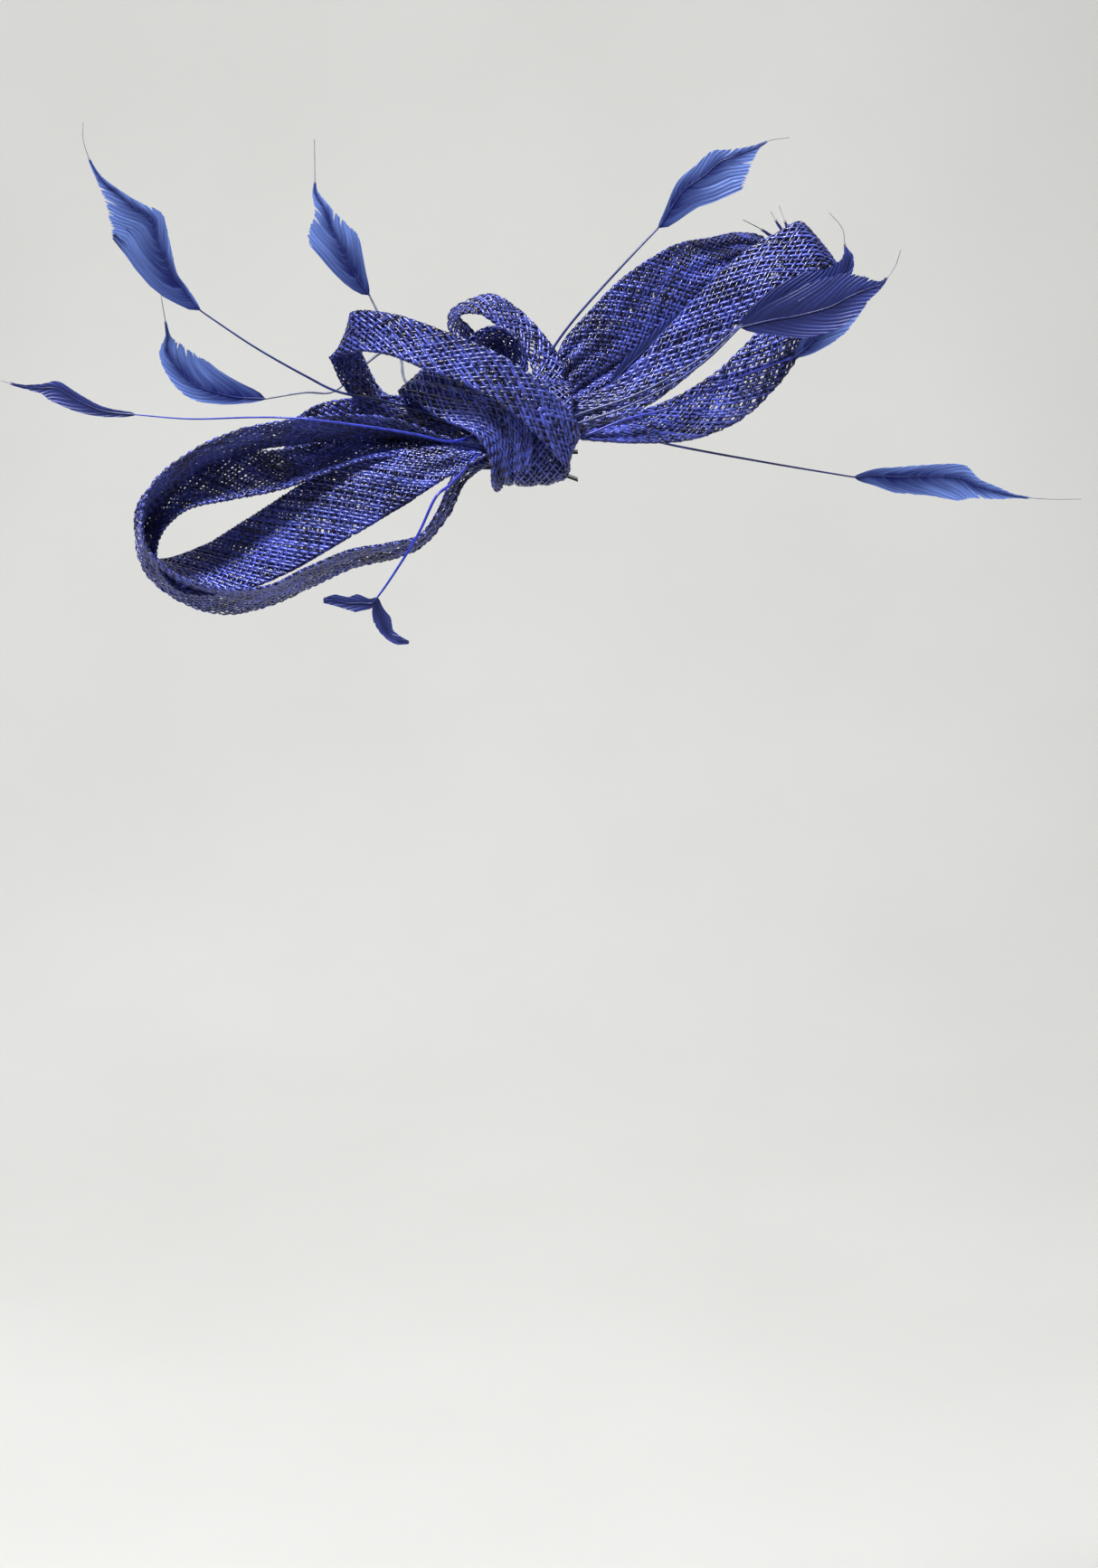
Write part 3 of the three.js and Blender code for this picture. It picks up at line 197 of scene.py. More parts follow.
def spline(points, t):
    """A centripetal Catmull-Rom curve through points, at t from 0 to 1 counted in stations."""
    p = np.asarray(points, float)
    p = np.vstack([2 * p[0] - p[1], p, 2 * p[-1] - p[-2]])
    place = np.clip(np.asarray(t), 0, 1) * (len(p) - 3)
    k = np.minimum(place.astype(int), len(p) - 4)
    w = (place - k)[:, None]
    p0, p1, p2, p3 = p[k], p[k + 1], p[k + 2], p[k + 3]
    pairs = ((p0, p1), (p1, p2), (p2, p3))
    d = [np.maximum(np.sum((b - a) ** 2, axis=1) ** 0.25, 1e-4)[:, None] for a, b in pairs]
    t1 = ((p1 - p0) / d[0] - (p2 - p0) / (d[0] + d[1]) + (p2 - p1) / d[1]) * d[1]
    t2 = ((p2 - p1) / d[1] - (p3 - p1) / (d[1] + d[2]) + (p3 - p2) / d[2]) * d[1]
    return p1 + t1 * w + (3 * (p2 - p1) - 2 * t1 - t2) * w**2 + (2 * (p1 - p2) + t1 + t2) * w**3


class Strip:
    """The middle line, across direction, normal and width of a strip, looked up by length along it."""

    def __init__(self, centres, acrosses, widths, samples=24):
        t = np.linspace(0, 1, (len(centres) - 1) * samples + 1)
        self.centre = spline(centres, t)
        across = unit(spline(acrosses, t))
        along = unit(np.gradient(self.centre, axis=0))
        self.normal = unit(np.cross(along, across))
        self.across = across
        self.width = spline(np.c_[np.arange(len(widths)), widths, np.zeros(len(widths))], t)[:, 1]
        steps = np.linalg.norm(np.diff(self.centre, axis=0), axis=1)
        self.reach = np.r_[0, np.cumsum(steps)]
        self.length = self.reach[-1]

    def at(self, u):
        rows = (self.centre, self.across, self.normal)
        centre, across, normal = (
            np.stack([np.interp(u, self.reach, row[:, i]) for i in range(3)], -1) for row in rows)
        return centre, unit(across), unit(normal), np.interp(u, self.reach, self.width)


# ---------- meshes ----------
def grid_quads(rows, columns, closed=True):
    """Quads between the rows of a grid of corners; closed joins each row's last corner to its first."""
    i, j = np.meshgrid(np.arange(rows - 1), np.arange(columns if closed else columns - 1), indexing="ij")
    k = (j + 1) % columns
    quads = [i * columns + j, i * columns + k, (i + 1) * columns + k, (i + 1) * columns + j]
    return np.stack(quads, -1).reshape(-1, 4)


def end_quads(rows, columns):
    """Quads that close the first and the last ring of corners."""
    fan = np.array([(0, j, j + 1, j + 2) for j in range(1, columns - 2, 2)])
    return np.vstack([fan[:, ::-1], fan + (rows - 1) * columns])


def make_object(name, verts, faces, materials, uv=None, tone=None, face_material=None):
    """A mesh from corner places in millimetres and quads, with smooth faces."""
    mesh = bpy.data.meshes.new(name)
    faces = np.asarray(faces, np.int32)
    mesh.vertices.add(len(verts))
    mesh.vertices.foreach_set("co", (np.asarray(verts, np.float32) * MM).ravel())
    mesh.loops.add(faces.size)
    mesh.loops.foreach_set("vertex_index", faces.ravel())
    mesh.polygons.add(len(faces))
    mesh.polygons.foreach_set("loop_start", np.arange(0, faces.size, faces.shape[1], dtype=np.int32))
    mesh.polygons.foreach_set("use_smooth", np.ones(len(faces), bool))
    for material in materials:
        mesh.materials.append(material)
    if face_material is not None:
        mesh.polygons.foreach_set("material_index", np.asarray(face_material, np.int32))
    mesh.update(calc_edges=True)
    if uv is not None:
        layer = mesh.uv_layers.new(name="OFBake")
        layer.data.foreach_set("uv", np.asarray(uv, np.float32)[faces.ravel()].ravel())
    if tone is not None:
        mesh.attributes.new("tone", "FLOAT", "POINT").data.foreach_set("value", np.asarray(tone, np.float32))
    obj = bpy.data.objects.new(name, mesh)
    bpy.context.scene.collection.objects.link(obj)
    return obj


def tube(points, radius, sides):
    """Corners and quads of a tube along points; radius may vary along it."""
    points = np.asarray(points, float)
    radius = np.broadcast_to(radius, len(points))
    along = unit(np.gradient(points, axis=0))
    side = np.cross(along[0], [0, 0, 1]) if abs(along[0][2]) < 0.9 else np.cross(along[0], [1, 0, 0])
    sides_at = []
    for direction in along:
        side = unit(side - direction * (side @ direction))
        sides_at.append(side)
    side = np.array(sides_at)
    up = np.cross(along, side)
    angle = np.arange(sides) * 2 * math.pi / sides
    ring = np.cos(angle)[None, :, None] * side[:, None] + np.sin(angle)[None, :, None] * up[:, None]
    verts = (points[:, None] + ring * radius[:, None, None]).reshape(-1, 3)
    return verts, np.vstack([grid_quads(len(points), sides), end_quads(len(points), sides)])


def merge(parts):
    """One set of corners and quads from several."""
    verts, faces, base = [], [], 0
    for v, f in parts:
        verts.append(v)
        faces.append(np.asarray(f) + base)
        base += len(v)
    return np.vstack(verts), np.vstack(faces)


# ---------- materials ----------
SHAFT_ON_MAP, VANE_ON_MAP = 0.45, 0.44  # a vane's shaft and half width on its map


def new_material(name):
    material = bpy.data.materials.new(name)
    material.use_nodes = True
    tree = material.node_tree
    return material, tree, tree.nodes["Principled BSDF"]


def add(tree, kind, inputs=None, **settings):
    node = tree.nodes.new(kind)
    for key, value in settings.items():
        setattr(node, key, value)
    for key, value in (inputs or {}).items():
        if isinstance(value, bpy.types.NodeSocket):
            tree.links.new(value, node.inputs[key])
        else:
            node.inputs[key].default_value = value
    return node


def colour_ramp(tree, factor, stops):
    node = add(tree, "ShaderNodeValToRGB", {"Fac": factor})
    ramp = node.color_ramp
    while len(ramp.elements) < len(stops):
        ramp.elements.new(0.5)
    for element, (place, colour) in zip(ramp.elements, stops):
        element.position = place
        element.color = (*colour, 1)
    return node.outputs["Color"]


def thread_material(name, dark, light, roughness, sheen):
    """Straw thread: its colour varies from thread to thread and slowly along the cloth, and its tone
    attribute also carries painted shade, darker where a thread dips under those it crosses.
    """
    material, tree, shader = new_material(name)
    place = add(tree, "ShaderNodeTexCoord").outputs["Object"]
    tone = add(tree, "ShaderNodeAttribute", attribute_name="tone").outputs["Fac"]
    patches = add(tree, "ShaderNodeTexNoise", {"Vector": place, "Scale": 90.0, "Detail": 3.0}).outputs["Fac"]
    fibres = add(tree, "ShaderNodeTexNoise", {"Vector": place, "Scale": 1500.0, "Detail": 2.0}).outputs["Fac"]
    mixed = add(tree, "ShaderNodeMath", {0: tone, 1: 0.8, 2: patches}, operation="MULTIPLY_ADD")
    level = add(tree, "ShaderNodeMath", {0: mixed.outputs[0], 1: 0.35}, operation="SUBTRACT").outputs[0]
    tree.links.new(colour_ramp(tree, level, [(0.3, dark), (1.0, light)]), shader.inputs["Base Color"])
    bump = add(tree, "ShaderNodeBump", {"Strength": 0.35, "Distance": 0.0001, "Height": fibres})
    tree.links.new(bump.outputs["Normal"], shader.inputs["Normal"])
    shader.inputs["Roughness"].default_value = roughness
    shader.inputs["Specular IOR Level"].default_value = 0.8
    shader.inputs["Sheen Weight"].default_value = sheen
    shader.inputs["Sheen Roughness"].default_value = 0.4
    return material


def feather_material(name, dark, light, through):
    """A dyed vane: streaks along its barbs, a satin face and some light coming through, with painted light
    that makes it paler away from the shaft towards its thin edges.
    """
    material, tree, shader = new_material(name)
    uv = add(tree, "ShaderNodeUVMap", uv_map="OFBake").outputs["UV"]
    streaks = add(tree, "ShaderNodeMapping", {"Vector": uv, "Scale": (95.0, 1.6, 1.0)}).outputs["Vector"]
    fine = add(
        tree, "ShaderNodeTexNoise", {"Vector": streaks, "Scale": 1.0, "Detail": 4.0, "Roughness": 0.65})
    broad = add(tree, "ShaderNodeMapping", {"Vector": uv, "Scale": (9.0, 2.0, 1.0)}).outputs["Vector"]
    slow = add(tree, "ShaderNodeTexNoise", {"Vector": broad, "Scale": 1.0, "Detail": 2.0})
    noises = {0: fine.outputs["Fac"], 1: slow.outputs["Fac"]}
    both = add(tree, "ShaderNodeMath", noises, operation="ADD").outputs[0]
    across = add(tree, "ShaderNodeSeparateXYZ", {"Vector": uv}).outputs["Y"]
    from_shaft = add(tree, "ShaderNodeMath", {0: across, 1: SHAFT_ON_MAP}, operation="SUBTRACT").outputs[0]
    outward = add(tree, "ShaderNodeMath", {0: from_shaft}, operation="ABSOLUTE").outputs[0]
    # painted light: the colour grows paler away from the shaft, standing in for light shining through the
    # thin edges of the vane
    painted_edge_light = {0: both, 1: 0.5, 2: outward}
    level = add(tree, "ShaderNodeMath", painted_edge_light, operation="MULTIPLY_ADD").outputs[0]
    middle = tuple(0.65 * a + 0.35 * b for a, b in zip(dark, light))
    colour = colour_ramp(tree, level, [(0.5, dark), (0.68, middle), (0.95, light)])
    tree.links.new(colour, shader.inputs["Base Color"])
    bump = add(tree, "ShaderNodeBump", {"Strength": 0.4, "Distance": 0.0002, "Height": fine.outputs["Fac"]})
    tree.links.new(bump.outputs["Normal"], shader.inputs["Normal"])
    shader.inputs["Roughness"].default_value = 0.42
    shader.inputs["Sheen Weight"].default_value = 0.15
    glow = add(tree, "ShaderNodeBsdfTranslucent", {"Color": colour})
    mix = add(tree, "ShaderNodeMixShader", {"Fac": through})
    tree.links.new(shader.outputs[0], mix.inputs[1])
    tree.links.new(glow.outputs[0], mix.inputs[2])
    tree.links.new(mix.outputs[0], tree.nodes["Material Output"].inputs["Surface"])
    return material


def noisy_material(name, dark, light, scale, roughness, metallic=0.0, bump=0.2, stretch=(1, 1, 1), sheen=0.0):
    """A surface whose colour and height follow one noise, stretched for brushed or fibrous looks."""
    material, tree, shader = new_material(name)
    place = add(tree, "ShaderNodeTexCoord").outputs["Object"]
    drawn = add(tree, "ShaderNodeMapping", {"Vector": place, "Scale": stretch}).outputs["Vector"]
    noise = add(tree, "ShaderNodeTexNoise", {"Vector": drawn, "Scale": scale, "Detail": 4.0}).outputs["Fac"]
    tree.links.new(colour_ramp(tree, noise, [(0.3, dark), (0.7, light)]), shader.inputs["Base Color"])
    height = add(tree, "ShaderNodeBump", {"Strength": bump, "Distance": 0.0001, "Height": noise})
    tree.links.new(height.outputs["Normal"], shader.inputs["Normal"])
    span = {"Value": noise, 3: roughness * 0.8, 4: roughness * 1.2}
    rough = add(tree, "ShaderNodeMapRange", span)
    tree.links.new(rough.outputs[0], shader.inputs["Roughness"])
    shader.inputs["Metallic"].default_value = metallic
    shader.inputs["Sheen Weight"].default_value = sheen
    return material


STRAW = thread_material("straw_thread", (0.003, 0.004, 0.045), (0.085, 0.115, 0.60), 0.3, 0.04)
SEWING = thread_material("sewing_thread", (0.01, 0.014, 0.10), (0.03, 0.045, 0.25), 0.6, 0.2)
CORE_CLOTH = noisy_material("core_cloth", (0.008, 0.012, 0.09), (0.02, 0.03, 0.2), 900, 0.8, sheen=0.3)
FELT = noisy_material(
    "wool_felt", (0.006, 0.008, 0.035), (0.018, 0.024, 0.085), 1400, 0.95, bump=0.6, sheen=0.5)
VANE = feather_material("feather_vane", (0.008, 0.015, 0.15), (0.20, 0.32, 0.86), 0.5)
DARK_VANE = feather_material("dark_feather_vane", (0.006, 0.010, 0.085), (0.035, 0.055, 0.30), 0.2)
QUILL = noisy_material("feather_quill", (0.007, 0.014, 0.10), (0.03, 0.05, 0.24), 400, 0.35, bump=0.1)
PALE_QUILL = noisy_material("pale_quill", (0.16, 0.18, 0.26), (0.34, 0.36, 0.42), 400, 0.35, bump=0.1)
BRIGHT_QUILL = noisy_material("bright_quill", (0.012, 0.02, 0.30), (0.03, 0.05, 0.55), 400, 0.3, bump=0.1)
DARK_STEEL = noisy_material(
    "dark_lacquered_steel", (0.012, 0.013, 0.02), (0.03, 0.032, 0.045), 220, 0.32, 0.2, 0.08, (1, 12, 1))
BRIGHT_STEEL = noisy_material(
    "bright_steel", (0.6, 0.61, 0.62), (0.7, 0.71, 0.73), 500, 0.16, 1.0, 0.03)


# ---------- ribbons ----------
PITCH = 1.75  # between two threads of the cloth
THREAD_HALF_WIDTH, THREAD_HALF_DEPTH = 0.5, 0.17
WEAVE_LIFT, STEPS_PER_LIFT = 0.2, 4  # a thread's rise over those it crosses, and its corners in each rise
CLOTH_THICKNESS = 0.75  # between the middles of a folded ribbon's two layers
CROWN = 0.035  # rise of a ribbon's middle, as a share of its width
GATHER_DEPTH = 1.5
THREAD_JITTER, THREAD_WAVE = 0.16, 0.1  # shares of the pitch
FAMILY_TONE, TONE_SPREAD, LIFT_PAINTED_SHADE = 0.17, 0.14, 0.15  # how a thread's tone varies; the last is painted shade, darker where the thread dips under those it crosses and lighter where it rides over them


def section(s, width, thickness):
    """Across and outward places, and their outward directions, round a flattened tube; s from 0 to 1."""
    half = np.maximum(width - thickness, 0.1) / 2
    radius = thickness / 2
    around = 4 * half + 2 * math.pi * radius
    q = (s % 1.0) * around
    v, h, nv, nh = (np.zeros_like(q) for _ in range(4))
    bend = math.pi * radius
    back = q < half
    v[back], h[back], nh[back] = q[back], -radius, -1
    turn = (q >= half) & (q < half + bend)
    a = (q - half)[turn] / radius - math.pi / 2
    v[turn], h[turn] = half[turn] + radius * np.cos(a), radius * np.sin(a)
    nv[turn], nh[turn] = np.cos(a), np.sin(a)
    front = (q >= half + bend) & (q < 3 * half + bend)
    v[front], h[front], nh[front] = (2 * half + bend - q)[front], radius, 1
    turn = (q >= 3 * half + bend) & (q < 3 * half + 2 * bend)
    a = (q - 3 * half - bend)[turn] / radius + math.pi / 2
    v[turn], h[turn] = -half[turn] + radius * np.cos(a), radius * np.sin(a)
    nv[turn], nh[turn] = np.cos(a), np.sin(a)
    rest = q >= 3 * half + 2 * bend
    v[rest], h[rest], nh[rest] = (q - around)[rest], -radius, -1
    return v, h, nv, nh


def cloth_place(strip, u, s, lift, full, pleats):
    """Places and outward directions on the folded cloth: u along the ribbon, s round it, lift off it."""
    centre, across, normal, width = strip.at(u)
    v, h, nv, nh = section(s, width, CLOTH_THICKNESS)
    gathered = np.clip(1 - width / full, 0, 1)
    x = v / np.maximum(width / 2, 0.1)
    crown = CROWN * full * (1 - x**2)
    fold = GATHER_DEPTH * gathered * np.sin(pleats * math.pi * x + 0.08 * u) * (1 - x**4)
    out = unit(across * nv[:, None] + normal * nh[:, None])
    place = centre + across * v[:, None] + normal * (h + crown + fold)[:, None] + out * lift[:, None]
    return place, out


def woven_ribbon(name, seed):
    """One ribbon: threads of two crossing families wound round a flattened tube, cut away at the knot."""
    reach, width, angle, pleats, route = RIBBONS[name]
    rng = np.random.default_rng(seed)
    points = np.array([row[:3] for row in route], float)
    scale = reach / np.linalg.norm(points - DRAWN_KNOT, axis=1).max()
    centres = (points - DRAWN_KNOT) * scale + KNOT
    acrosses = unit(np.array([row[3:6] for row in route], float))
    widths = np.array([width * (row[6] if len(row) > 6 else 1) for row in route])
    strip = Strip(centres, acrosses, widths)

    theta = math.radians(angle)
    sin, cos = math.sin(theta), math.cos(theta)
    around = 2 * width
    step = PITCH / cos / STEPS_PER_LIFT
    count = int(round(around / step))
    q = np.arange(count + 1) * step
    corners, quads, uvs, tones, base = [], [], [], [], 0
    for family in (1, -1):
        low = int(math.floor(min(0, -family * around * cos) / PITCH)) - 1
        high = int(math.ceil((strip.length * sin + max(0, -family * around * cos)) / PITCH)) + 1
        for i in range(low, high + 1):
            wander = THREAD_JITTER * rng.standard_normal()
            wander += THREAD_WAVE * np.sin(q * rng.uniform(0.05, 0.3) + rng.uniform(0, 6))
            u = ((i + wander) * PITCH + family * q * cos) / sin
            inside = (u > 0) & (u < strip.length)
            if inside.sum() < 2:
                continue
            s = q / (count * step)
            over = family * np.cos(2 * math.pi * q * cos / PITCH)
            lift = WEAVE_LIFT * over
            place, out = cloth_place(strip, np.clip(u, 0, strip.length), s, lift, width, pleats)
            inside &= (((place - KNOT) / CORE) ** 2).sum(1) > 1.0
            inside &= (place[:, 2] > PAD_Z + PAD_THICKNESS) | (
                np.hypot(place[:, 0], place[:, 1] - PAD_CENTRE_Y) > PAD_RADIUS)
            thick = rng.uniform(0.82, 1.25)
            broad, deep = THREAD_HALF_WIDTH * thick, THREAD_HALF_DEPTH * min(thick, 1.1)
            along = unit(np.gradient(place, axis=0))
            side = unit(np.cross(along, out))
            ring = np.stack([side * broad, out * deep, -side * broad, -out * deep], 1)
            verts = place[:, None] + ring
            kept = inside[:-1] & inside[1:]
            if not kept.any():
                continue
            k = np.nonzero(kept)[0]
            for j in range(4):
                n = (j + 1) % 4
                quads.append(base + np.stack([k * 4 + j, (k + 1) * 4 + j, (k + 1) * 4 + n, k * 4 + n], -1))
            edges = np.diff(np.r_[0, kept.astype(int), 0])
            for first in np.nonzero(edges == 1)[0]:
                quads.append(base + first * 4 + np.array([[0, 1, 2, 3]]))
            for last in np.nonzero(edges == -1)[0]:
                quads.append(base + last * 4 + np.array([[3, 2, 1, 0]]))
            corners.append(verts.reshape(-1, 3))
            spread = np.repeat(np.stack([u / strip.length, s], -1), 4, 0)
            uvs.append(np.clip(spread, 0.001, 0.999))
            shade = rng.normal(0.5 + FAMILY_TONE * family, TONE_SPREAD)
            # painted shade: the tone is darker where the thread dips under the threads it crosses and lighter
            # where it rides over them
            tones.append(np.repeat(np.clip(shade + LIFT_PAINTED_SHADE * over, 0, 1), 4))
            base += verts.shape[0] * 4
    corners, quads, uvs, tones = np.vstack(corners), np.vstack(quads), np.vstack(uvs), np.concatenate(tones)
    used, quads = np.unique(quads, return_inverse=True)
    quads = quads.reshape(-1, 4)
    cloth = name.replace("_ribbon", "_cloth")
    obj = make_object(cloth, corners[used], quads, [STRAW], uvs[used], tones[used])
    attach(obj, "headpiece")
    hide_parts(name)


for number, ribbon_name in enumerate(RIBBONS):
    woven_ribbon(ribbon_name, 11 + number)


# ---------- feathers ----------
BARB_LEAN = 21  # degrees between the barbs and the shaft
BARBS_PER_MM, BARB_COLUMNS, LONGEST_BARB = 1.8, 7, 40
HAIR_WIDTH = 0.9  # a vane drawn narrower than this is a bare hair
OFFSET_WIDTH = 6  # a vane at least this wide has its shaft at the full offset
SPLIT_HALF_WIDTH = 1.1
QUILL_RADIUS, BRANCH_RADIUS, TIP_RADIUS, QUILL_SIDES = 0.6, 0.2, 0.14, 6
QUILL_SLOT, HAIR_SLOT, SHAFT_SLOT = 1, 2, 3  # material slots after the vane's own
DARK_FEATHERS = ("feather_fishtail", "feather_front_blade", "feather_far_left", "feather_wisps",
                 "feather_right_upper", "feather_right_middle")
QUILLS = {name: QUILL for name in FEATHERS}
QUILLS.update(dict.fromkeys(("feather_top", "feather_left_middle"), PALE_QUILL))
QUILLS.update(dict.fromkeys(("feather_fishtail", "feather_right_lower", "feather_far_left"), BRIGHT_QUILL))


def shaft_place(offset, width):
    """How far the shaft lies from the middle of the vane."""
    return offset * width / 2 * np.clip(width / OFFSET_WIDTH, 0, 1)


def barbed_vane(stations, offset, splits, rng):
    """Corners, quads and map places of a vane whose columns run along its barbs."""
    rows = np.array(stations, float)
    shift = KNOT - DRAWN_KNOT
    t = np.linspace(0, 1, len(rows))
    middle = spline(rows[:, :3], t)
    slope = spline(rows[:, :3], np.clip(t + 0.001, 0, 1)) - spline(rows[:, :3], np.clip(t - 0.001, 0, 1))
    strip = Strip(middle + shift, unit(np.cross(unit(slope), VANE_FACING)), rows[:, 3])
    count = int(np.clip(strip.length * BARBS_PER_MM, 24, 160))
    roots = np.linspace(0, strip.length * 0.985, count)
    lean = math.tan(math.radians(BARB_LEAN))
    blocks, faces, maps, base = [], [], [], 0
    for side in (-1, 1):
        rag = 1 - 0.05 * rng.random(count) ** 2 - 0.10 * (rng.random(count) > 0.93) * rng.random(count)
        for split_side, place, depth in splits:
            if split_side == side:
                near = np.abs(roots / strip.length - place) * strip.length
                rag *= 1 - depth * np.clip(1 - near / SPLIT_HALF_WIDTH, 0, 1)
        reach = np.linspace(0, LONGEST_BARB, 161)[None, :]
        u = roots[:, None] + reach
        width = np.interp(u, strip.reach, strip.width, right=0.3)
        edge = width / 2 * (1 - side * offset * np.clip(width / OFFSET_WIDTH, 0, 1))
        out = reach * lean
        crossed = np.argmax(out >= edge, axis=1)
        crossed = np.where(crossed == 0, 1, crossed)
        run = reach[0][crossed] * rag
        f = np.linspace(0, 1, BARB_COLUMNS + 1)[None, :]
        u = np.clip(roots[:, None] + run[:, None] * f**1.25, 0, strip.length)
        lateral = run[:, None] * lean * f**0.8
        width = np.interp(u, strip.reach, strip.width)
        across = shaft_place(offset, width) + side * lateral
        centre, direction, normal, _ = strip.at(u.ravel())
        camber = -0.05 * (across.ravel() ** 2) / np.maximum(width.ravel(), 1) * 2
        ripple = 0.12 * np.sin(np.repeat(np.arange(count), BARB_COLUMNS + 1) * 0.9)
        ripple *= f.repeat(count, 0).ravel()
        place = centre + direction * across.ravel()[:, None] + normal * (camber + ripple)[:, None]
        blocks.append(place)
        n = BARB_COLUMNS + 1
        quad = grid_quads(count, n, closed=False)[:, [0, 3, 2, 1]]
        barbed = np.interp(roots[quad[:, 0] // n], strip.reach, strip.width) > HAIR_WIDTH
        quad = quad[barbed]
        faces.append(base + (quad if side > 0 else quad[:, ::-1]))
        columns = np.repeat(np.linspace(0.01, 0.99, count), n)
        maps.append(np.stack([columns, SHAFT_ON_MAP + side * VANE_ON_MAP * np.tile(f[0], count)], -1))
        base += len(place)
    line = np.linspace(0, strip.length, 60)
    centre, direction, normal, width = strip.at(line)
    shaft = centre + direction * shaft_place(offset, width)[:, None] - normal * 0.06
    return np.vstack(blocks), np.vstack(faces), np.vstack(maps), shaft, width < HAIR_WIDTH


def feather(name, seed):
    """One feather: its barbed vanes, and a quill that runs on through the first as its shaft."""
    offset, splits, quill, vanes = FEATHERS[name]
    rng = np.random.default_rng(seed)
    shift = KNOT - DRAWN_KNOT
    corners, faces, maps, material, base = [], [], [], [], 0
    shafts, bare_ends = [], []
    for stations in vanes:
        v, f, m, shaft, bare = barbed_vane(stations, offset, splits, rng)
        corners.append(v)
        faces.append(f + base)
        maps.append(m)
        material += [0] * len(f)
        base += len(v)
        shafts.append(shaft)
        bare_ends.append(bare)
    stem = spline(np.array(quill, float) + shift, np.linspace(0, 1, 14 * len(quill)))
    routes = [np.vstack([stem[:-1], shafts[0]])] + shafts[1:]
    for number, route in enumerate(routes):
        share = np.linspace(0, 1, len(route))
        thick = QUILL_RADIUS if number == 0 else BRANCH_RADIUS
        radius = np.interp(share, [0, 0.35, 0.75, 1], [thick, thick * 0.8, thick * 0.36, TIP_RADIUS])
        v, f = tube(route, radius, QUILL_SIDES)
        corners.append(v)
        faces.append(f + base)
        around = np.tile(np.linspace(0.93, 0.99, QUILL_SIDES), len(route))
        maps.append(np.stack([np.repeat(np.clip(share, 0.01, 0.99), QUILL_SIDES), around], -1))
        hair = np.r_[np.zeros(len(route) - len(bare_ends[number]), bool), bare_ends[number]]
        hair &= share > 0.5
        in_vane = np.arange(len(route)) >= len(route) - len(bare_ends[number])
        part = np.where(hair, HAIR_SLOT, np.where(in_vane, SHAFT_SLOT, QUILL_SLOT))
        material += list(part[np.minimum(np.arange(len(f)) // QUILL_SIDES, len(route) - 1)])
        base += len(v)
    vane_material = DARK_VANE if name in DARK_FEATHERS else VANE
    finishes = [vane_material, QUILLS[name], PALE_QUILL, QUILL]
    obj = make_object(
        name + "_barbs", np.vstack(corners), np.vstack(faces), finishes, np.vstack(maps),
        face_material=material)
    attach(obj, "headpiece")
    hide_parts(name)


for number, feather_name in enumerate(FEATHERS):
    feather(feather_name, 101 + number)


# ---------- knot ----------
def bundle():
    """The gathered core: ribbon ends pressed into lengthwise folds, drawn in under the binding."""
    rings, sides = 60, 72
    t = np.linspace(0.02, math.pi - 0.02, rings)
    a = np.arange(sides) * 2 * math.pi / sides
    waist = 1 - 0.05 * np.exp(-(((-np.cos(t) * CORE[0] + KNOT[0] - BINDING_X) / (BINDING_WIDTH / 2)) ** 2))
    folds = 1 - 0.05 * np.abs(np.sin(6.5 * a[None, :] + 1.2 * np.sin(3 * t[:, None]))) * np.sin(t)[:, None]
    round_at = np.sin(t)[:, None] * waist[:, None] * folds
    places = [
        np.broadcast_to(-np.cos(t)[:, None] * CORE[0], (rings, sides)),
        np.cos(a)[None, :] * CORE[1] * round_at, np.sin(a)[None, :] * CORE[2] * round_at]
    verts = np.stack(places, -1).reshape(-1, 3) + KNOT
    faces = np.vstack([grid_quads(rings, sides), end_quads(rings, sides)])
    obj = make_object("bound_core_bundle", verts, faces, [CORE_CLOTH])
    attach(obj, "headpiece")
    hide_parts("bound_core")


def wound_thread():
    """The binding: one thread wound round the core in slightly uneven turns, clear of the pad."""
    ratio = math.sqrt(1 - ((abs(BINDING_X - KNOT[0]) - BINDING_WIDTH / 2) / CORE[0]) ** 2)
    turns, per_turn = 9, 64
    margin, clear, radius = 0.4, 0.55, 0.33
    a = np.linspace(0, 2 * math.pi * turns, turns * per_turn)
    rng = np.random.default_rng(5)
    uneven = np.interp(a, np.linspace(0, a[-1], turns * 4), rng.uniform(-0.15, 0.15, turns * 4))
    x = BINDING_X - BINDING_WIDTH / 2 + margin + (BINDING_WIDTH - 2 * margin) * a / a[-1] + uneven
    y = KNOT[1] + (CORE[1] * ratio + clear) * np.cos(a)
    z = KNOT[2] + (CORE[2] * ratio + clear + 0.1 * np.sin(5 * a)) * np.sin(a)
    z = np.maximum(z, PAD_Z + PAD_THICKNESS + 0.5)
    verts, faces = tube(np.stack([x, y, z], -1), radius, 7)
    obj = make_object("binding_winding", verts, faces, [SEWING], tone=np.full(len(verts), 0.5))
    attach(obj, "headpiece")
    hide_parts("binding_thread")


bundle()
wound_thread()


